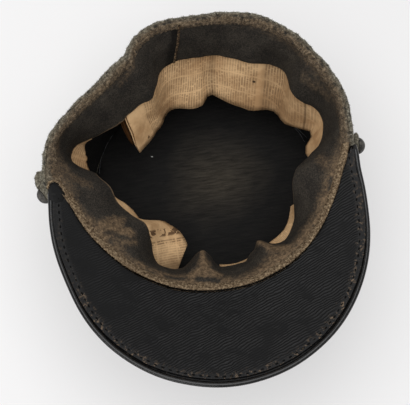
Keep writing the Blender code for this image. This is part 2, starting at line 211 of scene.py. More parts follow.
def refined_copy(node_name, name, levels, kind="CATMULL_CLARK"):
    """A finer, smooth mesh of a CAD node, which it stands for."""
    piece = new_piece(name, frame["nodes"][node_name].data.copy())
    make_active(piece)
    bpy.ops.object.mode_set(mode="EDIT")
    bpy.ops.mesh.select_all(action="SELECT")
    bpy.ops.mesh.remove_doubles(threshold=0.00001)
    bpy.ops.mesh.tris_convert_to_quads(face_threshold=radians(70), shape_threshold=radians(70))
    bpy.ops.mesh.customdata_custom_splitnormals_clear()
    bpy.ops.object.mode_set(mode="OBJECT")
    finer = piece.modifiers.new("Finer", "SUBSURF")
    finer.subdivision_type = kind
    finer.levels = levels
    finer.render_levels = levels
    bpy.ops.object.modifier_apply(modifier="Finer")
    bpy.ops.object.shade_smooth()
    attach(piece, "root")
    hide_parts(node_name)
    return piece


def bearing_of(point):
    return degrees(atan2(point.y - RIM_CENTRE.y, point.x - RIM_CENTRE.x)) % 360


def radius_of(point):
    return hypot(point.x - RIM_CENTRE.x, point.y - RIM_CENTRE.y)


def smooth_step(low, high, value):
    share = min(max((value - low) / (high - low), 0.0), 1.0)
    return share * share * (3 - 2 * share)


def outward_at(point):
    """The level direction away from the rim's middle."""
    return Vector((point.x - RIM_CENTRE.x, point.y - RIM_CENTRE.y, 0)).normalized()


def swayed(point):
    """Where one smooth field of noise moves a point of the walls, less near the stiff peak. The wall
    also fills out towards the peak's left tip."""
    bearing = bearing_of(point)
    aside = PEAK_HALF - abs((bearing - PEAK_MIDDLE + 180) % 360 - 180)
    share = 1 - (1 - PEAK_STILLNESS) * smooth_step(*PEAK_BORDER, aside)
    push = TIP_PUSH * exp(-(((bearing - TIP_BEARING) / TIP_SPREAD) ** 2))
    push *= smooth_step(*TIP_DROPS, drop_of(point)) * smooth_step(*TIP_INSETS, inset_of(point))
    waver = share * CLOTH_SWAY * noise.noise_vector(point / CLOTH_SWAY_SIZE)
    return point + waver + push * outward_at(point)


def sway(piece):
    for vertex in piece.data.vertices:
        vertex.co = swayed(vertex.co)


def outline_of(node_name, lowest):
    """The outermost radius of a CAD node's columns by bearing, above a height, as a function."""
    widest = {}
    for vertex in frame["nodes"][node_name].data.vertices:
        if vertex.co.z > lowest:
            column = round(bearing_of(vertex.co)) % 360
            widest[column] = max(widest.get(column, 0), radius_of(vertex.co))
    places = sorted(widest)

    def radius(bearing):
        bearing %= 360
        before = max((place for place in places if place <= bearing), default=places[-1] - 360)
        after = min((place for place in places if place > bearing), default=places[0] + 360)
        share = (bearing - before) / (after - before)
        return widest[before % 360] * (1 - share) + widest[after % 360] * share

    return radius


rim_outline = outline_of("crown_side", 0.078)
rim_radii = [rim_outline(bearing) for bearing in range(361)]


def rim_radius(bearing):
    """Radius of the wall's outer face at the rim."""
    whole = int(bearing % 360)
    return rim_radii[whole] + (rim_radii[whole + 1] - rim_radii[whole]) * (bearing % 360 - whole)


def rim_point(bearing, inset, drop):
    """A point set in from the wall's outer face at the rim, and dropped below it."""
    angle = radians(bearing)
    outer = rim_radius(bearing)
    height = RIM_HEIGHT + RIM_SLOPE * outer * sin(angle) - drop
    return Vector(
        (
            RIM_CENTRE.x + (outer - inset) * cos(angle),
            RIM_CENTRE.y + (outer - inset) * sin(angle),
            height,
        )
    )


def inset_of(point):
    return rim_radius(bearing_of(point)) - radius_of(point)


def drop_of(point):
    return rim_point(bearing_of(point), 0, 0).z - point.z


def slope_of(point):
    """How far a point is from the rim, measured down and in."""
    return hypot(inset_of(point), drop_of(point))


def lump(piece, size, reach):
    """Moves a piece's faces in and out along their normals, by noise of this size."""
    piece.data.update()
    moves = []
    for vertex in piece.data.vertices:
        swell = noise.noise(vertex.co / size) + 0.5 * noise.noise(vertex.co * 2.3 / size)
        moves.append(vertex.normal * reach * swell)
    for vertex, move in zip(piece.data.vertices, moves):
        vertex.co += move
    piece.data.update()


def store(piece, name, values):
    """Keeps one number for each vertex, for the piece's material."""
    attribute = piece.data.attributes.new(name, "FLOAT", "POINT")
    attribute.data.foreach_set("value", values)


def store_shares(piece, name, share_at):
    """Keeps what a function of the place gives at each vertex."""
    store(piece, name, [share_at(vertex.co) for vertex in piece.data.vertices])


def add(material, kind, sockets=None, **settings):
    """Adds a node. A socket's value is a constant or another node's output."""
    node = material.node_tree.nodes.new("ShaderNode" + kind)
    for setting, value in settings.items():
        setattr(node, setting, value)
    for socket, value in (sockets or {}).items():
        if isinstance(value, bpy.types.NodeSocket):
            material.node_tree.links.new(value, node.inputs[socket])
        else:
            node.inputs[socket].default_value = value
    return node


def stored(material, name):
    return add(material, "Attribute", attribute_name=name).outputs["Fac"]


def object_place(material, scale=(1, 1, 1), turn=(0, 0, 0), move=(0, 0, 0)):
    place = add(material, "TexCoord").outputs["Object"]
    sockets = {"Vector": place, "Location": move, "Scale": scale, "Rotation": turn}
    return add(material, "Mapping", sockets).outputs["Vector"]


def noise_at(material, place, scale, detail=4.0, roughness=0.6, distortion=0.0):
    sockets = {
        "Vector": place,
        "Scale": scale,
        "Detail": detail,
        "Roughness": roughness,
        "Distortion": distortion,
    }
    return add(material, "TexNoise", sockets).outputs["Fac"]


def ramp(material, share, stops):
    """A colour or grey level by share, through stops of (share, colour) in rising order."""
    node = add(material, "ValToRGB", {"Fac": share})
    elements = node.color_ramp.elements
    elements[0].position = stops[0][0]
    elements[1].position = stops[-1][0]
    for position, _ in stops[1:-1]:
        elements.new(position)
    for element, (_, colour) in zip(elements, stops):
        element.color = (*colour, 1) if isinstance(colour, tuple) else (colour, colour, colour, 1)
    return node.outputs["Color"]


def blend(material, share, first, second, kind="MIX"):
    node = add(material, "Mix", data_type="RGBA", blend_type=kind)
    for number, value in ((0, share), (6, first), (7, second)):
        if isinstance(value, bpy.types.NodeSocket):
            material.node_tree.links.new(value, node.inputs[number])
        else:
            node.inputs[number].default_value = value if number == 0 else (*value, 1)
    return node.outputs[2]


def maths(material, operation, first, second=0.5, third=0.5):
    return add(material, "Math", {0: first, 1: second, 2: third}, operation=operation).outputs[0]


def times(material, *factors):
    product = factors[0]
    for factor in factors[1:]:
        product = maths(material, "MULTIPLY", product, factor)
    return product


def set_socket(material, socket, value):
    shader = material.node_tree.nodes["Principled BSDF"]
    material.node_tree.links.new(value, shader.inputs[socket])


def raise_surface(material, height, distance, under=None):
    """Bump on the shader, over an earlier bump if there is one."""
    sockets = {"Height": height, "Distance": distance}
    if under is not None:
        sockets["Normal"] = under
    bump = add(material, "Bump", sockets).outputs["Normal"]
    set_socket(material, "Normal", bump)
    return bump


WOOL_DARK = (0.056, 0.049, 0.034)
WOOL_MIDDLE = (0.185, 0.163, 0.115)
WOOL_LIGHT = (0.45, 0.42, 0.335)
RUBBED_DARK = (0.022, 0.015, 0.009)
RUBBED_MIDDLE = (0.120, 0.080, 0.044)
RUBBED_LIGHT = (0.36, 0.27, 0.17)
MOTH_HOLE = (0.007, 0.006, 0.004)


def make_wool(name):
    """Felted wool, browner where it is rubbed at the turned hem."""
    cloth = new_finish(name, 0.95, Specular_IOR_Level=0.08, Sheen_Weight=0.12, Sheen_Roughness=0.6)
    place = object_place(cloth)
    clumps = noise_at(cloth, place, 560.0, 5.0, 0.80, 0.3)
    fine = noise_at(cloth, place, 2100.0, 3.0, 0.75)
    broad = noise_at(cloth, place, 55.0, 3.0)
    mixed = maths(cloth, "MULTIPLY_ADD", fine, 0.25, times(cloth, clumps, 0.75))
    fresh = ramp(cloth, mixed, [(0.41, WOOL_DARK), (0.50, WOOL_MIDDLE), (0.60, WOOL_LIGHT)])
    brown = ramp(cloth, mixed, [(0.41, RUBBED_DARK), (0.50, RUBBED_MIDDLE), (0.60, RUBBED_LIGHT)])
    rubbed = maths(cloth, "SUBTRACT", stored(cloth, "rubbed"), 0.4)
    rubbed = maths(cloth, "MULTIPLY_ADD", broad, 0.8, rubbed)
    colour = blend(cloth, ramp(cloth, rubbed, [(0.25, 0.0), (0.75, 1.0)]), fresh, brown)
    eaten = noise_at(cloth, object_place(cloth, move=(0.3, 0.1, 0.2)), 300.0, 3.0, 0.6)
    eaten = times(cloth, ramp(cloth, eaten, [(0.55, 0.0), (0.60, 1.0)]), stored(cloth, "crest"))
    eaten = maths(cloth, "MAXIMUM", eaten, stored(cloth, "hole"))
    set_socket(cloth, "Base Color", blend(cloth, eaten, colour, MOTH_HOLE))
    under = raise_surface(cloth, clumps, 0.0022)
    raise_surface(cloth, fine, 0.0006, under)
    return cloth


def hem_rub(point):
    """How brown the cloth is: rubbed where it turns in over the rim."""
    return smooth_step(*RUB_INSETS, inset_of(point)) * smooth_step(*RUB_DROPS, drop_of(point))


def crest_share(point):
    """How near a point is to the rim's outer crest, where the cloth is eaten thin."""
    return smooth_step(*CREST_DROPS, abs(drop_of(point))) * smooth_step(*CREST_INSETS, inset_of(point))


def hole_share(point):
    """How much of a moth hole is at a point. The holes are longer along the rim than across it."""
    if drop_of(point) > RIM_ZONE:
        return 0.0
    outward = outward_at(point)
    onward = outward.cross((0, 0, 1))
    away = []
    for spot in hole_spots:
        gap = point - spot
        stretched = gap + outward * gap.dot(outward) * HOLE_ACROSS
        away.append(stretched.length - abs(gap.dot(onward)) * HOLE_ALONG)
    return 1 - smooth_step(HOLE_HEART * HOLE_SIZE, HOLE_SIZE, min(away))


hole_draw = random.Random(21)
hole_spots = []
for bearing in MOTH_HOLES:
    inset = hole_draw.uniform(*HOLE_INSETS)
    hole_spots.append(rim_point(bearing, inset, hole_draw.uniform(*HOLE_DROPS)))

wool = make_wool("grey_green_wool")

wall = refined_copy("crown_side", "cloth_wall", 3)
store_shares(wall, "rubbed", hem_rub)
store_shares(wall, "crest", crest_share)
store_shares(wall, "hole", hole_share)
sway(wall)
lump(wall, CLOTH_LUMP_SIZE, CLOTH_LUMP)
put_on(wall, wool)

crown = refined_copy("crown_top", "cloth_crown", 2)
put_on(crown, wool)


def make_hairs(name, surface, count, length, thickness, lean, seed, where=None, tint=None):
    """Short hairs on a surface, each a closed three-sided spike with a bend."""
    draw = random.Random(seed)

    def any_way():
        return Vector([draw.uniform(-1, 1) for _ in range(3)])

    surface.data.update()
    surface.data.calc_loop_triangles()
    triangles = [t for t in surface.data.loop_triangles if where is None or where(t.center, t.normal)]
    vertices = surface.data.vertices
    points = []
    faces = []
    tones = []
    tints = []
    for triangle in draw.choices(triangles, weights=[t.area for t in triangles], k=count):
        a, b, c = (vertices[i].co for i in triangle.vertices)
        s, t = draw.random(), draw.random()
        if s + t > 1:
            s, t = 1 - s, 1 - t
        root = a + (b - a) * s + (c - a) * t
        aim = (triangle.normal + lean * any_way()).normalized()
        turn = any_way()
        reach = length * draw.uniform(0.35, 1.0)
        side = aim.orthogonal().normalized() * thickness * draw.uniform(0.7, 1.2) / 2
        across = aim.cross(side)
        first = len(points)
        middle = root + aim * reach * 0.5
        tip = middle + (aim + 0.9 * turn).normalized() * reach * 0.5
        for base, width in ((root - aim * thickness, 1.0), (middle, 0.8)):
            for corner in range(3):
                angle = 2 * pi * corner / 3
                points.append(base + width * (side * cos(angle) + across * sin(angle)))
        points.append(tip)
        faces.append((first + 2, first + 1, first))
        for corner in range(3):
            after = (corner + 1) % 3
            faces.append((first + corner, first + after, first + 3 + after, first + 3 + corner))
            faces.append((first + 3 + corner, first + 3 + after, first + 6))
        tones += [draw.random()] * 7
        tints += [tint(root) if tint else 0.0] * 7
    mesh = bpy.data.meshes.new(name)
    mesh.from_pydata(points, [], faces)
    hairs = new_piece(name, mesh)
    store(hairs, "tone", tones)
    store(hairs, "tint", tints)
    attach(hairs, "root")
    return hairs


FIBRE_STOPS = (0.1, 0.5, 0.95)
FIBRE_LIGHT = (0.44, 0.41, 0.34)
FIBRE_RUBBED = [RUBBED_DARK, RUBBED_MIDDLE, (0.36, 0.27, 0.18)]
# How deep the rim's own nap reaches in from the wall's outer face
NAP_REACH = 0.0062


def make_fibre(name, fresh, rubbed):
    """Fibres whose tone differs from hair to hair, between two sets of three colours."""
    fibre = new_finish(name, 0.9, Specular_IOR_Level=0.08)
    tone = stored(fibre, "tone")
    first = ramp(fibre, tone, list(zip(FIBRE_STOPS, fresh)))
    second = ramp(fibre, tone, list(zip(FIBRE_STOPS, rubbed)))
    set_socket(fibre, "Base Color", blend(fibre, stored(fibre, "tint"), first, second))
    return fibre


def on_rim(place, normal):
    """Whether a spot of the wall is on the rim, or just outside it."""
    outward = normal.dot((place - RIM_CENTRE).normalized())
    if hole_share(place) > 0.1:
        return False
    return drop_of(place) < RIM_ZONE and inset_of(place) < NAP_REACH and (outward > -0.2 or normal.z > 0.1)


def outside(place, normal):
    return normal.dot((place - RIM_CENTRE).normalized()) > 0.2 and drop_of(place) >= RIM_ZONE


# Hairs of each kind: how many, their length and thickness, how much they lean, and the random seed
NAP_HAIRS = (15000, 0.0013, 0.00017, 1.1, 3)
LOW_NAP_HAIRS = (8000, 0.0012, 0.00014, 1.1, 4)

wool_fibre = make_fibre("wool_fibre", [WOOL_DARK, WOOL_MIDDLE, FIBRE_LIGHT], FIBRE_RUBBED)
nap = make_hairs("wool_nap", wall, *NAP_HAIRS, on_rim, hem_rub)
put_on(nap, wool_fibre)

low_nap = make_hairs("wool_nap_low", wall, *LOW_NAP_HAIRS, outside)
put_on(low_nap, wool_fibre)


# Lining: black cotton over the inside of the wall and the crown, thin and a little creased. A warm pool
# of light is painted on the middle of the crown, and shows its weave.
COTTON_DARK = (0.0090, 0.0088, 0.0088)
COTTON_LIGHT = (0.0165, 0.0155, 0.0145)
# Colours of the painted pool of light, its middle, and how far it reaches
PAINTED_POOL_DARK = (0.022, 0.0190, 0.0145)
PAINTED_POOL_LIGHT = (0.068, 0.058, 0.045)
PAINTED_POOL_PLACE = (0.008, 0.010, 0.0037)
PAINTED_POOL_REACH = 0.060
LINING_GROWTH = 1.022
THREAD_PITCH = 0.0011
WAVE_LENGTH = 0.314


def make_cotton():
    cotton = new_finish("black_cotton", 0.9, Specular_IOR_Level=0.10)
    place = object_place(cotton)
    streaks = noise_at(cotton, object_place(cotton, (90, 800, 200)), 1.0, 4.0, 0.7)
    # Painted pool of light: the cotton is painted lighter and warmer towards the middle of the crown
    away = add(cotton, "VectorMath", {0: place, 1: PAINTED_POOL_PLACE}, operation="DISTANCE").outputs["Value"]
    away = maths(cotton, "MULTIPLY_ADD", noise_at(cotton, place, 26.0, 3.0), 0.035, away)
    painted_pool = ramp(cotton, maths(cotton, "DIVIDE", away, PAINTED_POOL_REACH), [(0.15, 1.0), (0.95, 0.0)])
    clean = ramp(cotton, streaks, [(0.35, COTTON_DARK), (0.75, COTTON_LIGHT)])
    pooled_light_colour = ramp(cotton, streaks, [(0.32, PAINTED_POOL_DARK), (0.68, PAINTED_POOL_LIGHT)])
    set_socket(cotton, "Base Color", blend(cotton, painted_pool, clean, pooled_light_colour))
    sockets = {"Vector": place, "Scale": WAVE_LENGTH / THREAD_PITCH, "Distortion": 0.6}
    weave = add(cotton, "TexWave", sockets, bands_direction="Y").outputs["Fac"]
    under = raise_surface(cotton, weave, 0.00012)
    raise_surface(cotton, noise_at(cotton, place, 70.0, 3.0), 0.0012, under)
    return cotton


cotton = make_cotton()
lining_wall = refined_copy("lining_side", "cotton_wall", 1)
sway(lining_wall)
put_on(lining_wall, cotton)

lining_crown = refined_copy("lining_top", "cotton_crown", 1)
for vertex in lining_crown.data.vertices:
    vertex.co.xy *= LINING_GROWTH
put_on(lining_crown, cotton)


# Sweatband: a strip of thin black leather, stitched round the rim and folded inwards in waves. Its top
# is worn brown, most of all along the peak and on the ridges of its folds.
BAND_SWAY = 0.00035
BAND_SWAY_SIZE = 0.006
BAND_SWAY_SLOPES = (0.002, 0.010)
BAND_RADIUS = 0.075
CUT_EDGE_REACH = (0.0022, 0.0006)
LEATHER_BLACK = (0.0090, 0.0082, 0.0078)
LEATHER_MIDDLE = (0.0225, 0.0195, 0.0160)
LEATHER_GREY = (0.064, 0.054, 0.042)
LEATHER_BROWN = (0.062, 0.040, 0.023)
LEATHER_TAN = (0.200, 0.136, 0.080)

# Worn margin below the rim: bearing in degrees, width in millimetres, and how worn it is
WORN_MARGIN = [
    (0, 9, 0.60),
    (6, 9, 0.50),
    (16, 12, 0.45),
    (40, 11, 0.45),
    (60, 9, 0.45),
    (85, 7, 0.30),
    (110, 7, 0.30),
    (128, 9, 0.45),
    (147, 8, 0.45),
    (163, 8, 0.55),
    (172, 13, 0.55),
    (180, 16, 0.60),
    (186, 14, 0.60),
    (192, 9, 0.80),
    (200, 9, 0.90),
    (208, 13, 0.95),
    (217, 14, 0.90),
    (226, 11, 0.90),
    (240, 12, 0.90),
    (252, 14, 0.95),
    (266, 15, 0.95),
    (274, 12, 0.95),
    (280, 11, 0.95),
    (288, 13, 0.95),
    (297, 18, 0.95),
    (306, 14, 0.95),
    (316, 15, 0.95),
    (322, 13, 0.95),
    (331, 12.5, 0.95),
    (338, 13, 0.92),
    (345, 14, 0.85),
    (352, 14, 0.70),
]
# Strokes of wear: from bearing and slope to bearing and slope, half width, and how worn they leave the
# leather. Slopes and widths are in millimetres.
WORN_STROKES = [
    (176, 10, 186, 24, 4.0, 0.45),
    (209, 14, 210, 27, 5.0, 0.80),
    (212, 20, 219, 25, 4.0, 0.90),
    (219, 12, 224, 22, 3.0, 0.60),
    (262.4, 39, 262.8, 26, 2.2, 0.95),
    (262.8, 28, 263.5, 16, 4.6, 0.95),
    (262.0, 22, 257.0, 14, 3.0, 0.90),
    (264.0, 22, 270.0, 15, 3.0, 0.90),
    (298.0, 38, 300.5, 22, 2.6, 0.85),
    (300.5, 24, 304.0, 14, 4.5, 0.95),
    (348, 16, 352, 24, 3.0, 0.45),
    (18, 14, 30, 20, 4.0, 0.35),
    (120, 10, 131, 14, 2.0, 0.35),
    (245, 13, 256, 14, 1.0, 0.90),
    (231, 11, 243, 12.5, 0.8, 0.90),
]
# Strokes where the leather is still dark
DARK_STROKES = [
    (218, 32, 214, 34, 3.5, 0.95),
    (228, 16, 232, 24, 4.2, 0.95),
    (216.4, 10.6, 217.6, 10.0, 1.3, 0.85),
    (212.5, 13, 213.5, 15, 1.2, 0.6),
    (246, 10.6, 254.5, 11.2, 1.1, 0.95),
    (234, 8.0, 241, 8.6, 0.5, 0.7),
    (260.5, 11.6, 269.5, 10.2, 1.7, 1.0),
    (256.5, 26, 254.5, 20, 2.2, 0.8),
    (270.5, 28, 276, 20, 2.6, 0.8),
    (294.3, 26, 288, 20, 2.6, 0.9),
    (335.5, 8.4, 341, 10.0, 0.9, 0.95),
    (318.5, 9.2, 319.2, 8.6, 0.5, 0.8),
    (307, 10.5, 307.8, 10.0, 0.6, 0.7),
]
# Painted shadow beside the band's upright seam
SEAM_SHADOW_STROKES = [
    (93.6, 5, 95.2, 20, 2.2, 1.0),
    (95.2, 20, 98.6, 37, 3.6, 1.0),
]
# How pale the band's free edge is: bearing, and share
PALE_EDGE = [
    (0, 0.25),
    (60, 0.3),
    (125, 0.45),
    (140, 0.9),
    (212, 0.9),
    (230, 0.45),
    (262, 0.8),
    (300, 0.8),
    (330, 0.5),
]


def table_value(rows, bearing, column):
    """The value at a bearing, straight between the rows of a table that goes round."""
    rows = [*rows, (rows[0][0] + 360, *rows[0][1:])]
    for near, far in zip(rows, rows[1:]):
        if near[0] <= bearing < far[0]:
            return near[column] + (far[column] - near[column]) * (bearing - near[0]) / (far[0] - near[0])
    return rows[0][column]


def stroke_share(stroke, bearing, slope, ragged):
    """How much of a stroke falls on a spot, from 0 to 1."""
    run = Vector((radians(stroke[2] - stroke[0]) * BAND_RADIUS, (stroke[3] - stroke[1]) / 1000))
    aside = radians((bearing - stroke[0] + 180) % 360 - 180) * BAND_RADIUS
    spot = Vector((aside, slope - stroke[1] / 1000))
    along = min(max(spot.dot(run) / run.length_squared, 0.0), 1.0)
    away = (spot - along * run).length / (stroke[4] / 1000)
    return stroke[5] * (1 - smooth_step(0.35, 1.6, away + 0.45 * ragged))


def wear_at(point):
    """How worn the sweatband is at a point, from 0 to 1."""
    bearing = bearing_of(point)
    slope = slope_of(point)
    ragged = noise.noise(point * 230) + 0.6 * noise.noise(point * 620)
    width = table_value(WORN_MARGIN, bearing, 1) / 1000
    strength = table_value(WORN_MARGIN, bearing, 2)
    worn = strength * (1 - smooth_step(width * 0.45, width * 1.55, slope + ragged * 0.0015))
    for stroke in WORN_STROKES:
        worn = max(worn, stroke_share(stroke, bearing, slope, ragged))
    for stroke in DARK_STROKES:
        worn *= 1 - stroke_share(stroke, bearing, slope, ragged)
    return worn


# How much of the painted shadow beside the seam falls on a point
def painted_seam_shadow_at(point):
    bearing = bearing_of(point)
    slope = slope_of(point)
    return max(stroke_share(stroke, bearing, slope, 0.0) for stroke in SEAM_SHADOW_STROKES)


def make_band_leather():
    leather = new_finish("sweatband_leather", 0.8, Specular_IOR_Level=0.14)
    place = object_place(leather)
    speckle = noise_at(leather, place, 1200.0, 5.0, 0.85)
    grain = noise_at(leather, place, 520.0, 6.0, 0.78)
    patches = noise_at(leather, place, 75.0, 4.0, 0.6)
    mottle = maths(leather, "MULTIPLY_ADD", patches, 0.20, times(leather, speckle, 0.80))
    dark = ramp(leather, mottle, [(0.40, LEATHER_BLACK), (0.50, LEATHER_MIDDLE), (0.62, LEATHER_GREY)])
    worn = ramp(leather, grain, [(0.38, LEATHER_BROWN), (0.62, LEATHER_TAN)])
    share = maths(leather, "SUBTRACT", stored(leather, "worn"), 0.65)
    share = maths(leather, "MULTIPLY_ADD", grain, 1.3, share)
    share = ramp(leather, share, [(0.10, 0.0), (0.50, 0.40), (1.0, 1.0)])
    colour = blend(leather, share, dark, worn)
    edge = times(leather, stored(leather, "cut_edge"), grain)
    colour = blend(leather, ramp(leather, edge, [(0.15, 0.0), (0.5, 0.9)]), colour, LEATHER_TAN)
    # Painted shadow: the leather is darkened beside the seam
    seam_shadow_share = ramp(leather, stored(leather, "painted_seam_shadow"), [(0.0, 1.0), (1.0, 0.30)])
    set_socket(leather, "Base Color", blend(leather, 1.0, colour, seam_shadow_share, "MULTIPLY"))
    under = raise_surface(leather, grain, 0.0005)
    raise_surface(leather, speckle, 0.0002, under)
    return leather


band = refined_copy("sweatband", "sweatband_leather", 2)
store_shares(band, "worn", wear_at)
store_shares(band, "painted_seam_shadow", painted_seam_shadow_at)
slopes = [slope_of(v.co) for v in band.data.vertices]
longest = [0.0] * 361
for vertex, slope in zip(band.data.vertices, slopes):
    whole = int(bearing_of(vertex.co))
    longest[whole] = max(longest[whole], slope)
edge_shares = []
for vertex, slope in zip(band.data.vertices, slopes):
    bearing = bearing_of(vertex.co)
    near_edge = smooth_step(*CUT_EDGE_REACH, longest[int(bearing)] - slope)
    edge_shares.append(near_edge * table_value(PALE_EDGE, bearing, 1))
store(band, "cut_edge", edge_shares)
sway(band)
for vertex, slope in zip(band.data.vertices, slopes):
    share = smooth_step(*BAND_SWAY_SLOPES, slope)
    vertex.co += share * BAND_SWAY * noise.noise_vector(vertex.co / BAND_SWAY_SIZE)
band.data.update()
put_on(band, make_band_leather())


# Upright seam of the sweatband at the back: the band's two ends overlap there, and the upper one's cut
# edge stands up as a worn ridge.
SEAM_PATH = [
    (-0.0070, 0.0825, 0.1040),
    (-0.0076, 0.0814, 0.1030),
    (-0.0097, 0.0756, 0.0885),
    (-0.0128, 0.0702, 0.0722),
]
SEAM_STEPS = 40
SEAM_WIDTH = 0.0013
SEAM_HEIGHT = 0.0007
SEAM_SINK = 0.0004


def on_surface(piece, point):
    """The nearest spot of a piece to a point, and the normal there."""
    _, spot, normal, _ = piece.closest_point_on_mesh(point)
    return spot, normal


def piece_from_shape(name, shape):
    """A smooth piece of the part from a loose shape."""
    mesh = bpy.data.meshes.new(name)
    shape.to_mesh(mesh)
    shape.free()
    mesh.shade_smooth()
    piece = new_piece(name, mesh)
    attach(piece, "root")
    return piece


def mesh_from_rows(name, rows):
    """A closed tube through rings of points."""
    shape = bmesh.new()
    rings = [[shape.verts.new(point) for point in row] for row in rows]
    for ring, after in zip(rings, rings[1:]):
        for i in range(len(ring)):
            j = (i + 1) % len(ring)
            shape.faces.new((ring[i], ring[j], after[j], after[i]))
    shape.faces.new(reversed(rings[0]))
    shape.faces.new(rings[-1])
    bmesh.ops.recalc_face_normals(shape, faces=shape.faces)
    return piece_from_shape(name, shape)


def along_path(path, share):
    """A point along a path of points."""
    place = min(max(share, 0.0), 1.0) * (len(path) - 1)
    whole = min(int(place), len(path) - 2)
    return Vector(path[whole]).lerp(Vector(path[whole + 1]), place - whole)


seam_rows = []
for step in range(SEAM_STEPS + 1):
    share = step / SEAM_STEPS
    spot, normal = on_surface(band, along_path(SEAM_PATH, share))
    onward = (along_path(SEAM_PATH, share + 0.02) - along_path(SEAM_PATH, share - 0.02)).normalized()
    across = normal.cross(onward).normalized()
    ragged = noise.noise(Vector((share * 30, 5, 0)))
    width = SEAM_WIDTH * (1 + 0.3 * ragged) * (1.5 if share < 0.3 else 1.0)
    height = SEAM_HEIGHT * (1 + 0.4 * ragged)
    seam_rows.append(
        [
            spot - across * width * 0.5 - normal * SEAM_SINK,
            spot - across * width * 0.4 + normal * height,
            spot + normal * height * 1.1,
            spot + across * width * 0.7 + normal * height * 0.3,
            spot + across * width - normal * SEAM_SINK,
        ]
    )
seam_ridge = mesh_from_rows("sweatband_seam", seam_rows)


def make_raw_leather(name, dark, middle, pale):
    raw = new_finish(name, 0.9, Specular_IOR_Level=0.1)
    grit = noise_at(raw, object_place(raw), 760.0, 4.0, 0.75)
    set_socket(raw, "Base Color", ramp(raw, grit, [(0.40, dark), (0.50, middle), (0.63, pale)]))
    raise_surface(raw, grit, 0.0008)
    return raw


seam_leather = make_raw_leather("rubbed_seam_leather", LEATHER_BLACK, LEATHER_BROWN, LEATHER_TAN)
put_on(seam_ridge, seam_leather)


# Joint of the band and the cloth: round the back the cloth's hem is felted over the band's top, and
# along the peak the band's own cut edge lies ragged and tan, where it is sewn down.
# Each strip's first and last bearing and its step, and then its outer inset, width, rise over the rim,
# drop of its lip, and raggedness
HEM_RUN = (-6.0, 186.0, 0.5)
HEM_SIZES = (0.0031, 0.0022, 0.0002, 0.0026, 0.0008)
RAW_RUN = (183.5, 356.0, 0.25)
RAW_SIZES = (0.0038, 0.0010, 0.0010, 0.0004, 0.0012)
LIP_INSET = 0.0085
HEM_RUB_INSETS = (0.0035, 0.0070)
RAW_HAIRS = (3000, 0.0009, 0.00012, 1.3, 5)
HEM_HAIRS = (4200, 0.0012, 0.00015, 1.2, 6)
RAW_TAN = (0.150, 0.104, 0.062)
RAW_PALE = (0.36, 0.27, 0.17)


def band_lip(bearing, drop, lift):
    """A point on the band's face below the rim, lifted off it."""
    spot, normal = on_surface(band, rim_point(bearing, LIP_INSET, drop))
    if normal.z < -0.3:
        normal = Vector((0, 0, 1))
    return spot + normal * lift


def cloth_point(bearing, inset, drop):
    return swayed(rim_point(bearing, inset, drop))


def bearings_along(start, end, step):
    return [start + number * step for number in range(int((end - start) / step) + 1)]


def make_joint(name, run, outer, width, rise, lip, ragged):
    """A ragged strip over the joint."""
    rows = []
    for bearing in bearings_along(*run):
        slow = [noise.noise(Vector((bearing * 0.9, 7.0 * k, 1.0))) for k in range(4)]
        fast = [noise.noise(Vector((bearing * 3.1, 5.0 * k, 2.0))) for k in range(4)]
        inset = outer - ragged * 0.5 * fast[0]
        lift = rise * (1 + 0.5 * slow[1])
        drop = lip * (1 + 0.5 * slow[2] + 0.5 * fast[2])
        rows.append(
            [
                cloth_point(bearing, inset, -lift * 0.4),
                cloth_point(bearing, inset + width * 0.5, -lift * (1 + 0.3 * fast[1])),
                cloth_point(bearing, inset + width, -lift * 0.6 * (1 + 0.5 * fast[3])),
                band_lip(bearing, drop, 0.0004),
                band_lip(bearing, drop, -0.0002),
                cloth_point(bearing, inset + 0.0012, 0.0009),
            ]
        )
    return mesh_from_rows(name, rows)


def joint_rub(point):
    """The felted hem is browner towards the band."""
    return 0.55 + 0.45 * smooth_step(*HEM_RUB_INSETS, inset_of(point))


hem_joint = make_joint("felted_hem", HEM_RUN, *HEM_SIZES)
lump(hem_joint, size=0.0016, reach=0.0003)
store_shares(hem_joint, "rubbed", joint_rub)
store_shares(hem_joint, "hole", hole_share)
put_on(hem_joint, wool)

raw_leather = make_raw_leather("raw_leather_edge", LEATHER_BROWN, RAW_TAN, RAW_PALE)
raw_edge = make_joint("raw_edge", RAW_RUN, *RAW_SIZES)
lump(raw_edge, size=0.0011, reach=0.0002)
put_on(raw_edge, raw_leather)


def faces_up(place, normal):
    return normal.z > -0.2 and hole_share(place) < 0.1


raw_tones = [LEATHER_BROWN, (0.18, 0.128, 0.078), (0.44, 0.34, 0.23)]
raw_fibre = make_fibre("raw_leather_fibre", raw_tones, FIBRE_RUBBED)
fray = make_hairs("raw_edge_fray", raw_edge, *RAW_HAIRS, faces_up)
put_on(fray, raw_fibre)

hem_fray = make_hairs("hem_fray", hem_joint, *HEM_HAIRS, faces_up, joint_rub)
put_on(hem_fray, wool_fibre)


# Newspaper: old sheets, folded into flat strips and tucked behind the sweatband to make the cap fit.
# The print is worn to rows of marks that can't be read, and a strip's end and edges are left plain.
PAPER_RADIUS = 0.058
PAPER_BEARINGS = 150.0
PAPER_DEPTH = 0.1
PAPER_LIGHT = (0.70, 0.465, 0.250)
PAPER_DARK = (0.44, 0.265, 0.130)
INK = (0.135, 0.078, 0.040)
INK_SHARE = 0.72
TORN_SPOT = (radians(51.6) * PAPER_RADIUS, 0.055, 0.0)
TORN_DARK = (0.030, 0.018, 0.009)
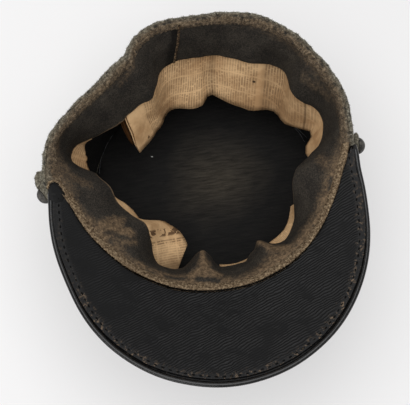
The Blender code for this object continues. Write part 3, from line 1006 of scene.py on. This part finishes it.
# Pitch of the print's lines and columns, how far they wander, and how short the words are
PRINT_LINE = 0.0015
PRINT_COLUMN = 0.0130
PRINT_WANDER = 0.0010
WORD_SCALE = 650.0
SHEET_UP = Vector((0, 0.967, 0.256))
LEFT_BULGE = 0.008
LEFT_BULGE_BEARING = 164.8
LEFT_BULGE_SPREAD = 4.2
# How far the back strip's print leans round the cap on its way down: bearing, and degrees a metre
BACK_LEAN = [(20, -260), (34, -390), (46, -270), (62, -135), (80, 0), (93, 165), (108, 260), (124, 150)]
PRINT_MIDDLE = 0.057


def lay_out(piece, flat=False, lean=None):
    """A UV map in metres: round the cap and down from the rim, or else flat over the sheet."""
    layers = piece.data.uv_layers
    places = layers[0] if layers else layers.new(name="surface")
    places.name = "surface"
    spots = []
    for vertex in piece.data.vertices:
        bearing, slope = bearing_of(vertex.co), slope_of(vertex.co)
        if lean:
            bearing -= table_value(lean, bearing, 1) * (slope - PRINT_MIDDLE)
        if flat:
            spots.append((vertex.co.x, -vertex.co.dot(SHEET_UP)))
        else:
            spots.append((radians(bearing) * PAPER_RADIUS, slope))
    for polygon in piece.data.polygons:
        for loop, vertex in zip(polygon.loop_indices, polygon.vertices):
            places.data[loop].uv = spots[vertex]


def make_newsprint(name, along_round, density, tone, heading=None, torn=None):
    """Print whose lines run down from the rim, or round the cap. Density and tone are ramps; the tone also
    carries painted shade.
    """
    paper = new_finish(name, 0.9, Specular_IOR_Level=0.12)
    surface = add(paper, "UVMap", uv_map="surface").outputs["UV"]
    split = add(paper, "SeparateXYZ", {"Vector": surface})
    wander = noise_at(paper, object_place(paper), 45.0, 2.0)
    round_way = maths(paper, "MULTIPLY_ADD", wander, PRINT_WANDER, split.outputs["X"])
    down_way = maths(paper, "MULTIPLY_ADD", wander, PRINT_WANDER, split.outputs["Y"])
    across, along = (down_way, round_way) if along_round else (round_way, down_way)
    line = maths(paper, "DIVIDE", across, PRINT_LINE)
    row = maths(paper, "FLOOR", line)
    within = maths(paper, "FRACT", line)
    body = ramp(paper, within, [(0.08, 0.0), (0.22, 1.0), (0.74, 1.0), (0.92, 0.0)])
    combine = {"X": times(paper, along, WORD_SCALE), "Y": times(paper, row, 7.3)}
    words = noise_at(paper, add(paper, "CombineXYZ", combine).outputs["Vector"], 1.0, 2.0, 0.9)
    words = ramp(paper, words, [(0.37, 0.0), (0.46, 1.0)])
    columns = maths(paper, "FRACT", maths(paper, "DIVIDE", along, PRINT_COLUMN))
    gutter = ramp(paper, columns, [(0.0, 0.0), (0.06, 1.0), (0.92, 1.0), (0.99, 0.0)])
    fading = ramp(paper, noise_at(paper, object_place(paper), 110.0, 3.0), [(0.32, 0.45), (0.60, 1.0)])
    if along_round:
        reach = maths(paper, "DIVIDE", split.outputs["Y"], PAPER_DEPTH)
    else:
        reach = maths(paper, "DIVIDE", split.outputs["X"], radians(PAPER_BEARINGS) * PAPER_RADIUS)
    ink = times(paper, body, words, gutter, fading, ramp(paper, reach, density), INK_SHARE)
    if heading:
        low, high = heading
        blobs = ramp(paper, noise_at(paper, surface, 330.0, 1.0, 0.5, 1.2), [(0.50, 0.0), (0.54, 1.0)])
        within = ramp(paper, reach, [(low - 0.01, 0.0), (low, 1.0), (high, 1.0), (high + 0.01, 0.0)])
        ink = maths(paper, "MAXIMUM", ink, times(paper, blobs, within))
    stains = noise_at(paper, object_place(paper), 38.0, 4.0, 0.65)
    sheet = ramp(paper, stains, [(0.36, PAPER_DARK), (0.58, PAPER_LIGHT)])
    # The tone ramp darkens the sheet; on the back and front strips it paints shade in a crease and at the
    # low end
    sheet = blend(paper, 1.0, sheet, ramp(paper, reach, tone), "MULTIPLY")
    colour = blend(paper, ink, sheet, INK)
    if torn:
        gap = add(paper, "VectorMath", {0: surface, 1: torn}, operation="DISTANCE").outputs["Value"]
        torn_share = ramp(paper, times(paper, gap, 300.0), [(0.15, 1.0), (0.32, 0.0)])
        colour = blend(paper, torn_share, colour, TORN_DARK)
    set_socket(paper, "Base Color", colour)
    under = raise_surface(paper, noise_at(paper, object_place(paper), 260.0, 4.0), 0.0003)
    raise_surface(paper, noise_at(paper, object_place(paper), 60.0, 2.0), 0.0012, under)
    return paper


def by_bearing(rows):
    """Ramp stops for the back paper, from rows of bearing and value."""
    return [(bearing / PAPER_BEARINGS, value) for bearing, value in rows]


BACK_DENSITY = [
    (13.5, 0.15),
    (15.0, 0.55),
    (33.0, 0.55),
    (36.5, 1.0),
    (46.0, 1.0),
    (47.2, 0.05),
    (49.8, 0.05),
    (50.8, 0.85),
    (126.5, 0.85),
    (127.5, 0.0),
]
# How dark the back strip is by bearing: the dip at 19 is a printed rule, the block from 36 to 46 is dense
# print, and the dip at 76 is painted shade in a crease
BACK_TONE_AND_CREASE_SHADE = [
    (12.0, 0.95),
    (18.6, 0.84),
    (19.4, 0.30),
    (20.2, 0.84),
    (36.0, 0.72),
    (46.5, 0.68),
    (49.0, 0.92),
    (73.0, 0.95),
    (76.0, 0.64),
    (80.0, 0.95),
    (102.0, 0.9),
    (126.0, 1.05),
]
FRONT_DENSITY = [(0.245, 0.0), (0.250, 1.0), (0.275, 1.0), (0.285, 0.35), (0.31, 0.60), (0.40, 0.85)]
# Painted shade on the front strip, darker towards its low end
FRONT_PAINTED_SHADE = [(0.10, 1.0), (0.30, 1.0), (0.36, 0.72), (0.42, 0.32)]
FRONT_HEADING = (0.185, 0.222)

back_rows = (by_bearing(BACK_DENSITY), by_bearing(BACK_TONE_AND_CREASE_SHADE))
back_print = make_newsprint("newsprint_lines_down", False, *back_rows, torn=TORN_SPOT)
front_print = make_newsprint("newsprint_lines_round", True, FRONT_DENSITY, FRONT_PAINTED_SHADE, FRONT_HEADING)
plain_print = make_newsprint("newsprint_margin", True, [(0.3, 0.7), (0.9, 0.85)], [(0.2, 0.85), (0.9, 1.0)])


def make_paper(node_name, name, material, reshape=None, flat=False, lean=None):
    paper = refined_copy(node_name, name, 2, "SIMPLE")
    if reshape:
        for vertex in paper.data.vertices:
            vertex.co = reshape(vertex.co)
    lay_out(paper, flat, lean)
    sway(paper)
    put_on(paper, material)
    return paper


left_low, left_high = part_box("paper_left")


def pull_left_paper(point):
    """The left paper spans its fold tightly, so its free edge comes further in."""
    aside = (bearing_of(point) - LEFT_BULGE_BEARING) / LEFT_BULGE_SPREAD
    share = smooth_step(left_high[2], left_low[2], point.z) * exp(-aside * aside)
    return point - outward_at(point) * LEFT_BULGE * share


make_paper("paper_back", "newspaper_back", back_print, lean=BACK_LEAN)
make_paper("paper_front", "newspaper_front", front_print, flat=True)
make_paper("paper_left", "newspaper_left", plain_print, pull_left_paper)
make_paper("paper_right", "newspaper_right", plain_print)

# The back strip is a folded sheet: at its left end the edges of the leaves behind show like a fan
LEAF_TOP = Vector((-0.0478, 0.0412, 0.0665))
LEAF_TIP = Vector((-0.0420, 0.0252, 0.0402))
# Each leaf's place beside the strip's end at the top and at the tip, its share of the length, how light
# its edge is painted, and how light the rest, from painted shade to plain paper
LEAVES = [
    (Vector((-0.00125, 0.0006, 0.0)), Vector((-0.0010, 0.0004, 0.0)), 0.98, 1.0, 0.45),
    (Vector((-0.0030, 0.0014, 0.0)), Vector((-0.0030, 0.0014, 0.0)), 0.90, 0.2, 0.0),
    (Vector((-0.0040, 0.0020, 0.0)), Vector((-0.0038, 0.0016, 0.0)), 0.84, 0.1, 0.0),
]
LEAF_DEPTH = Vector((0.0085, 0.0065, 0.0))
LEAF_THICKNESS = 0.00022
LEAF_STEPS = 8
# How far a leaf bows out, where its near edge lies in its depth, how much further each next leaf goes in,
# and the way that its thickness runs
LEAF_BOW = 0.5
LEAF_NEAR = 0.13
LEAF_SPREAD = 0.0009
LEAF_BACK = Vector((-0.6, 0.8, 0))
# Painted shade: the leaves' colour in the fold's shadow, and in the groove beside the strip's face
LEAF_SHADOW = (0.035, 0.016, 0.006)
LEAF_GROOVE_SHADE = (0.110, 0.042, 0.009)


def make_leaf(number, top, tip, length):
    """A thin leaf that runs from behind the band to the strip's low corner."""
    rows = []
    for step in range(LEAF_STEPS + 1):
        share = step / LEAF_STEPS
        edge = LEAF_TOP.lerp(LEAF_TIP, share * length) + top.lerp(tip, share)
        edge += top * LEAF_BOW * sin(pi * share)
        near = edge + LEAF_DEPTH * LEAF_NEAR
        inner = edge + LEAF_DEPTH + Vector((0, LEAF_SPREAD * number, 0))
        thick = LEAF_BACK * LEAF_THICKNESS
        rows.append([edge, edge + thick, near + thick, inner + thick, inner, near])
    return mesh_from_rows("newspaper_leaf_%d" % number, rows)


def make_leaf_paper():
    """Plain paper edge, with painted shade where it lies in the fold."""
    paper = new_finish("newspaper_leaves", 0.9, Specular_IOR_Level=0.1)
    rough = noise_at(paper, object_place(paper), 900.0, 3.0)
    # The stored light share runs from painted shade in the fold to plain paper at a lit edge
    light = maths(paper, "MULTIPLY_ADD", rough, 0.2, maths(paper, "SUBTRACT", stored(paper, "light"), 0.1))
    stops = [(0.0, LEAF_SHADOW), (0.45, LEAF_GROOVE_SHADE), (0.62, LEAF_GROOVE_SHADE), (0.80, PAPER_LIGHT)]
    set_socket(paper, "Base Color", ramp(paper, light, stops))
    return paper


leaf_paper = make_leaf_paper()
for number, (top, tip, length, edge_painted_light, rest_painted_light) in enumerate(LEAVES, 1):
    leaf = make_leaf(number, top, tip, length)
    # The first two of each row's six points are the leaf's edge
    edges = [i % 6 < 2 for i in range(len(leaf.data.vertices))]
    store(leaf, "light", [edge_painted_light if on_edge else rest_painted_light for on_edge in edges])
    sway(leaf)
    put_on(leaf, leaf_paper)


# Peak: a stiff leather board with a glossy rolled edge, lined with black leather that is grained in
# slanting waves and stitched down a little way inside the edge.
PATENT = (0.0042, 0.0042, 0.0044)
PATENT_WORN = (0.030, 0.024, 0.018)
GRAIN_DARK = (0.0048, 0.0048, 0.0050)
GRAIN_LIGHT = (0.0250, 0.0250, 0.0255)
GRAIN_MARGIN = (0.0165, 0.0165, 0.0168)
GRAIN_WORN = (0.170, 0.120, 0.078)
GRAIN_PITCH = 0.00155
GRAIN_TURN = radians(-112)
# The grain is worn faint at the peak's left end, between these two places
FAINT_GRAIN = (-0.088, -0.056)
FAINT_SHARE = 0.3
# The lining's edge is drawn out and up over the board's rolled edge
PEAK_EDGE_REACH = 0.0030
PEAK_EDGE_LIFT = 0.0020
PEAK_EDGE_FADE = (0.0038, 0.0003)
# Distances from the peak's edge over which its plain margin ends, and its scuffs
MARGIN_FADE = (0.0086, 0.0070)
SCUFF_FADE = (0.0100, 0.0064)
OUTLINE_STEP = 0.0005
# How worn the margin is: bearing, and share
SCUFF_BEARINGS = [
    (0, 0.15),
    (190, 0.1),
    (216, 0.15),
    (228, 1.0),
    (250, 0.8),
    (285, 0.75),
    (300, 1.0),
    (322, 0.6),
    (345, 0.3),
]


def make_patent():
    coat = {"Coat_Weight": 0.25, "Coat_Roughness": 0.10}
    patent = new_finish("patent_leather", 0.25, Specular_IOR_Level=0.28, **coat)
    place = object_place(patent)
    rubbed = noise_at(patent, place, 520.0, 5.0, 0.75)
    set_socket(patent, "Base Color", ramp(patent, rubbed, [(0.56, PATENT), (0.74, PATENT_WORN)]))
    set_socket(patent, "Roughness", ramp(patent, rubbed, [(0.45, 0.12), (0.75, 0.5)]))
    raise_surface(patent, noise_at(patent, place, 130.0, 3.0), 0.0005)
    return patent


def make_grained():
    grained = new_finish("grained_leather", 0.5, Specular_IOR_Level=0.13)
    place = object_place(grained)
    sockets = {
        "Vector": object_place(grained, turn=(0, 0, GRAIN_TURN)),
        "Scale": WAVE_LENGTH / GRAIN_PITCH,
        "Distortion": 9.0,
        "Detail": 2.5,
        "Detail Scale": 0.35,
        "Detail Roughness": 0.65,
    }
    waves = add(grained, "TexWave", sockets).outputs["Fac"]
    fine = noise_at(grained, place, 1700.0, 3.0, 0.75)
    broken = ramp(grained, noise_at(grained, place, 75.0, 3.0, 0.6), [(0.40, 0.10), (0.60, 0.9)])
    relief = times(grained, waves, broken, stored(grained, "grain"))
    level = maths(grained, "MULTIPLY_ADD", fine, 0.35, times(grained, relief, 0.75))
    colour = ramp(grained, level, [(0.18, GRAIN_DARK), (0.85, GRAIN_LIGHT)])
    edge_leather = ramp(grained, fine, [(0.30, GRAIN_DARK), (0.60, GRAIN_MARGIN)])
    colour = blend(grained, stored(grained, "margin"), colour, edge_leather)
    specks = ramp(grained, noise_at(grained, place, 420.0, 5.0, 0.75), [(0.54, 0.0), (0.63, 1.0)])
    specks = times(grained, specks, stored(grained, "scuffs"))
    set_socket(grained, "Base Color", blend(grained, specks, colour, GRAIN_WORN))
    under = raise_surface(grained, relief, 0.0007)
    raise_surface(grained, fine, 0.00015, under)
    return grained


# The peak's free edge, seen from above: its outline without the long side along the rim
peak_points = [v.co.to_2d() for v in frame["nodes"]["peak"].data.vertices]
hull = [peak_points[i] for i in geometry.convex_hull_2d(peak_points)]
hull_sides = [(a, b) for a, b in zip(hull, hull[1:] + hull[:1])]
widest_side = max(hull_sides, key=lambda side: (side[1] - side[0]).length)
turned = hull_sides.index(widest_side) + 1
hull_sides = hull_sides[turned:] + hull_sides[: turned - 1]
edge_spots = []
for a, b in hull_sides:
    steps = max(int((b - a).length / OUTLINE_STEP), 1)
    edge_spots += [a.lerp(b, i / steps) for i in range(steps)]
edge_tree = kdtree.KDTree(len(edge_spots))
for number, spot in enumerate(edge_spots):
    edge_tree.insert((spot.x, spot.y, 0), number)
edge_tree.balance()

board = refined_copy("peak", "patent_board", 2)
put_on(board, make_patent())

peak_leather = refined_copy("peak_lining", "peak_inner_leather", 3)
distances = [edge_tree.find((v.co.x, v.co.y, 0))[2] for v in peak_leather.data.vertices]
far, near = [min(distances) + fade for fade in PEAK_EDGE_FADE]
for vertex, distance in zip(peak_leather.data.vertices, distances):
    share = smooth_step(far, near, distance)
    vertex.co += outward_at(vertex.co) * PEAK_EDGE_REACH * share
    vertex.co.z += PEAK_EDGE_LIFT * share
peak_leather.data.update()
scuffs = []
for vertex, distance in zip(peak_leather.data.vertices, distances):
    share = table_value(SCUFF_BEARINGS, bearing_of(vertex.co), 1)
    scuffs.append(share * smooth_step(*SCUFF_FADE, distance))
margins = [smooth_step(*MARGIN_FADE, distance) for distance in distances]
grain = []
for vertex, margin in zip(peak_leather.data.vertices, margins):
    clear = FAINT_SHARE + (1 - FAINT_SHARE) * smooth_step(*FAINT_GRAIN, vertex.co.x)
    grain.append((1 - margin) * clear)
store(peak_leather, "margin", margins)
store(peak_leather, "grain", grain)
store(peak_leather, "scuffs", scuffs)
grained = make_grained()
put_on(peak_leather, grained)

# Along the rim the peak's leather is turned down over the cloth, and closes the joint
TURNED_RUN = (200.0, 344.0, 2.0)
TURNED_INSETS = (0.0012, -0.0010, -0.0010, 0.0012)
TURNED_DROPS = (0.0004, 0.0010, 0.0034, 0.0040)
rows = []
for bearing in bearings_along(*TURNED_RUN):
    rows.append([cloth_point(bearing, inset, drop) for inset, drop in zip(TURNED_INSETS, TURNED_DROPS)])
turned_edge = mesh_from_rows("peak_turned_edge", rows)
store(turned_edge, "margin", [1.0] * len(turned_edge.data.vertices))
put_on(turned_edge, grained)

# The peak's left end is cut round and lies over the rim, and the band's torn edge frames it
TIP_OUTLINE = [
    (-0.1002, -0.0160),
    (-0.1003, -0.0085),
    (-0.0990, -0.0057),
    (-0.0965, -0.0043),
    (-0.0940, -0.0055),
    (-0.0918, -0.0092),
    (-0.0902, -0.0135),
    (-0.0925, -0.0175),
    (-0.0965, -0.0185),
]
TIP_FRAME = [
    (-0.1006, -0.0088),
    (-0.0992, -0.0052),
    (-0.0965, -0.0038),
    (-0.0938, -0.0050),
    (-0.0914, -0.0089),
    (-0.0897, -0.0133),
    (-0.0880, -0.0180),
]
TIP_X = -0.0959
TIP_HEIGHT = 0.0953
TIP_SLOPE = 0.36
TIP_THICKNESS = 0.0014
# Rings of the tip from its underside up: share of the outline, and lift
TIP_RINGS = [(1.0, -TIP_THICKNESS), (1.0, -0.0004), (0.92, 0.0), (0.5, 0.0001)]
FRAME_THICKNESS = 0.0006
FRAME_LIFT = 0.0003
FRAME_HAIRS = (260, 0.0014, 0.00013, 1.3, 15)
CORD_SIDES = 6
CORD_STEPS = 10


def tip_point(x, y, lift):
    return Vector((x, y, TIP_HEIGHT + TIP_SLOPE * (TIP_X - x) + lift))


def make_cord(name, path, radius, ragged=0.0):
    """A thin round cord along a path of points."""
    rows = []
    steps = CORD_STEPS * (len(path) - 1)
    for number in range(steps + 1):
        share = number / steps
        onward = along_path(path, share + 0.01) - along_path(path, share - 0.01)
        side = onward.orthogonal().normalized()
        across = onward.normalized().cross(side)
        row = []
        for corner in range(CORD_SIDES):
            angle = 2 * pi * corner / CORD_SIDES
            reach = radius * (1 + ragged * noise.noise(Vector((share * 60, corner * 3.7, 9))))
            row.append(along_path(path, share) + reach * (side * cos(angle) + across * sin(angle)))
        rows.append(row)
    return mesh_from_rows(name, rows)


tip_middle = sum((Vector(spot) for spot in TIP_OUTLINE), Vector((0, 0))) / len(TIP_OUTLINE)
tip_rows = []
for scale, lift in TIP_RINGS:
    spots = [tip_middle + (Vector(spot) - tip_middle) * scale for spot in TIP_OUTLINE]
    tip_rows.append([tip_point(spot.x, spot.y, lift) for spot in spots])
peak_tip = mesh_from_rows("peak_tip", tip_rows)
put_on(peak_tip, grained)

frame_path = [tip_point(x, y, FRAME_LIFT) for x, y in TIP_FRAME]
tip_frame = make_cord("peak_tip_frame", frame_path, FRAME_THICKNESS, 0.6)
put_on(tip_frame, raw_leather)

tip_fray = make_hairs("peak_tip_fray", tip_frame, *FRAME_HAIRS)
put_on(tip_fray, raw_fibre)


# Stitches: black thread that holds the peak's lining, each stitch sunk in its hole in the leather.
STITCH_INSET = 0.0066
STITCH_PITCH = 0.0043
STITCH_LENGTH = 0.0023
STITCH_THICKNESS = 0.0011
STITCH_LIFT = -0.0001
STITCH_SPREAD = (0.85, 1.15)
# Spots of the outline on either side of a stitch that give its direction
STITCH_REACH = 8
RAY_HEIGHT = 0.3
THREAD_BLACK = (0.0020, 0.0020, 0.0020)
THREAD_FADED = (0.060, 0.045, 0.030)


def strew(name, model, places):
    """One piece of many copies of a small mesh, one at each place."""
    shape = bmesh.new()
    for place in places:
        copy = model.copy()
        copy.transform(place)
        shape.from_mesh(copy)
        bpy.data.meshes.remove(copy)
    return piece_from_shape(name, shape)


def model_stitch(length, thickness):
    """One stitch, a rounded run of thread that lies along X."""
    bpy.ops.object.select_all(action="DESELECT")
    bpy.ops.mesh.primitive_uv_sphere_add(segments=8, ring_count=6, radius=0.5)
    stitch = bpy.context.object
    model = stitch.data.copy()
    bpy.data.objects.remove(stitch)
    model.transform(Matrix.Diagonal((length, thickness, thickness, 1)))
    return model


def place_on(piece, x, y, along, lift, scale=1.0):
    """A place on a piece's upper face: X runs along, and Z out of the face."""
    found, spot, normal, _ = piece.ray_cast(Vector((x, y, RAY_HEIGHT)), Vector((0, 0, -1)))
    if not found:
        return None
    forward = (along - along.dot(normal) * normal).normalized()
    across = normal.cross(forward)
    turn = Matrix((forward, across, normal)).transposed().to_4x4()
    return Matrix.Translation(spot + normal * lift) @ turn @ Matrix.Scale(scale, 4)


def make_thread(name, fresh, faded, start):
    thread = new_finish(name, 0.85, Specular_IOR_Level=0.1)
    rubbed = noise_at(thread, object_place(thread), 260.0, 3.0)
    set_socket(thread, "Base Color", ramp(thread, rubbed, [(start, fresh), (start + 0.15, faded)]))
    return thread


draw = random.Random(11)
stitch_places = []
travelled = 0.0
before = None
for number in range(STITCH_REACH, len(edge_spots) - STITCH_REACH):
    onward = (edge_spots[number + STITCH_REACH] - edge_spots[number - STITCH_REACH]).normalized()
    inward = Vector((-onward.y, onward.x))
    if inward.dot(RIM_CENTRE.to_2d() - edge_spots[number]) < 0:
        inward = -inward
    here = (edge_spots[number] + inward * STITCH_INSET).to_3d()
    travelled += (here - before).length if before else 0.0
    before = here
    if travelled >= STITCH_PITCH:
        travelled = 0.0
        scale = draw.uniform(*STITCH_SPREAD)
        place = place_on(peak_leather, here.x, here.y, onward.to_3d(), STITCH_LIFT, scale)
        if place is not None:
            stitch_places.append(place)
stitches = strew("peak_stitches", model_stitch(STITCH_LENGTH, STITCH_THICKNESS), stitch_places)
put_on(stitches, make_thread("peak_thread", THREAD_BLACK, THREAD_FADED, 0.62))

# The same thread sews the band's top edge down, a stitch at a time across the edge
BAND_STITCH_BEARINGS = (188, 354)
BAND_STITCH_STEP = 2.75
BAND_STITCH_INSET = 0.0062
BAND_STITCH_LENGTH = 0.0026
BAND_STITCH_THICKNESS = 0.0006
BAND_STITCH_LIFT = 0.0001
BAND_STITCH_TURN = 35
BAND_STITCH_SWING = 12
BAND_STITCH_SPREAD = (0.7, 1.2)
THREAD_DARK = (0.010, 0.008, 0.006)
THREAD_TAN = (0.11, 0.075, 0.045)

band_stitch_places = []
bearing = BAND_STITCH_BEARINGS[0]
while bearing < BAND_STITCH_BEARINGS[1]:
    here = cloth_point(bearing, BAND_STITCH_INSET, 0)
    angle = radians(bearing + BAND_STITCH_TURN + draw.uniform(-BAND_STITCH_SWING, BAND_STITCH_SWING))
    along = Vector((cos(angle), sin(angle), 0))
    place = place_on(band, here.x, here.y, along, BAND_STITCH_LIFT, draw.uniform(*BAND_STITCH_SPREAD))
    if place is not None:
        band_stitch_places.append(place)
    bearing += BAND_STITCH_STEP * draw.uniform(*STITCH_SPREAD)
band_stitch = model_stitch(BAND_STITCH_LENGTH, BAND_STITCH_THICKNESS)
band_stitches = strew("sweatband_stitches", band_stitch, band_stitch_places)
put_on(band_stitches, make_thread("sweatband_thread", THREAD_DARK, THREAD_TAN, 0.50))

# Loose threads and a pale chip that lie in the crown
LOOSE_THREADS = [
    [
        (-0.0712, 0.0235, 0.0050),
        (-0.0690, 0.0330, 0.0052),
        (-0.0640, 0.0420, 0.0058),
        (-0.0590, 0.0480, 0.0085),
    ],
    [(0.0632, 0.0392, 0.0048), (0.0672, 0.0345, 0.0052), (0.0712, 0.0285, 0.0060)],
    [(0.0640, 0.0372, 0.0048), (0.0668, 0.0330, 0.0050), (0.0692, 0.0262, 0.0055)],
]
LOOSE_THICKNESS = 0.00013
LOOSE_GREY = (0.060, 0.062, 0.066)
LOOSE_PALE = (0.13, 0.13, 0.135)
CHIP_PLACE = (-0.0345, 0.0305, 0.0044)
CHIP_SIZES = (0.0017, 0.0008, 0.0004, 1)
CHIP_TURN = radians(-25)
CHIP_PALE = (0.42, 0.42, 0.40)

grey_thread = make_thread("loose_grey_thread", LOOSE_PALE, LOOSE_GREY, 0.45)
for number, path in enumerate(LOOSE_THREADS, 1):
    loose = make_cord("loose_thread_%d" % number, path, LOOSE_THICKNESS)
    put_on(loose, grey_thread)

chip_turn = Matrix.Rotation(CHIP_TURN, 4, "Z")
chip_place = Matrix.Translation(CHIP_PLACE) @ chip_turn @ Matrix.Diagonal(CHIP_SIZES)
chip = strew("pale_chip", model_stitch(1.0, 1.0), [chip_place])
put_on(chip, make_thread("pale_chip", CHIP_PALE, LOOSE_PALE, 0.55))


# Chin strap and buttons: a worn strap of the same cloth, which ends in a fold at the left and a ragged
# end at the right, each held by a small dull domed button.
STRAP_SWELL = 0.0009
STRAP_VOXEL = 0.0007
# The left fold is moved in and filled on its inner side, and the right end is moved in. Each pair of
# places is where that begins and where it is full.
LEFT_SHIFT = 0.0014
LEFT_FILL = 0.0036
LEFT_FADE = (-0.080, -0.095)
INNER_FADE = (-0.2, 0.4)
FOLD_FADE = (-0.002, 0.004)
RIGHT_SHIFT = 0.0014
RIGHT_FADE = (0.075, 0.085)
STRAP_HAIRS = (7000, 0.0013, 0.00016, 1.2, 8)
DOME_GROWTH = 1.08
DOME_MOVES = {"left": Vector((-0.0002, 0.0012, 0.0)), "right": Vector((-0.0009, 0.0004, 0.0))}

strap = refined_copy("chin_strap", "cloth_strap", 1)
strap.data.update()
for vertex in strap.data.vertices:
    vertex.co += vertex.normal * STRAP_SWELL
make_active(strap)
full = strap.modifiers.new("Full", "REMESH")
full.mode = "VOXEL"
full.voxel_size = STRAP_VOXEL
full.use_smooth_shade = True
bpy.ops.object.modifier_apply(modifier="Full")
lump(strap, size=0.0024, reach=0.0007)
inward = [smooth_step(*INNER_FADE, -v.normal.x * v.co.x / abs(v.co.x)) for v in strap.data.vertices]
fold_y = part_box("button_left")[1][1]
fold_low, fold_high = [fold_y + fade for fade in FOLD_FADE]
for vertex, share in zip(strap.data.vertices, inward):
    fold_shift = LEFT_SHIFT * smooth_step(fold_low, fold_high, vertex.co.y)
    vertex.co.x += (fold_shift + LEFT_FILL * share) * smooth_step(*LEFT_FADE, vertex.co.x)
    vertex.co.x -= RIGHT_SHIFT * smooth_step(*RIGHT_FADE, vertex.co.x)
strap.data.update()
put_on(strap, wool)

strap_fuzz = make_hairs("strap_fuzz", strap, *STRAP_HAIRS)
put_on(strap_fuzz, wool_fibre)

BUTTON_DARK = (0.016, 0.015, 0.014)
BUTTON_RUBBED = (0.095, 0.088, 0.076)


def make_button_metal():
    metal = new_finish("button_metal", 0.5, Specular_IOR_Level=0.3)
    rubbed = noise_at(metal, object_place(metal), 420.0, 4.0, 0.7)
    set_socket(metal, "Base Color", ramp(metal, rubbed, [(0.40, BUTTON_DARK), (0.66, BUTTON_RUBBED)]))
    raise_surface(metal, rubbed, 0.0003)
    return metal


button_metal = make_button_metal()
for side in ("left", "right"):
    button = refined_copy("button_" + side, "domed_button_" + side, 2)
    low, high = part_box("button_" + side)
    centre = (Vector(low) + Vector(high)) / 2
    for vertex in button.data.vertices:
        vertex.co = centre + (vertex.co - centre) * DOME_GROWTH + DOME_MOVES[side]
    put_on(button, button_metal)
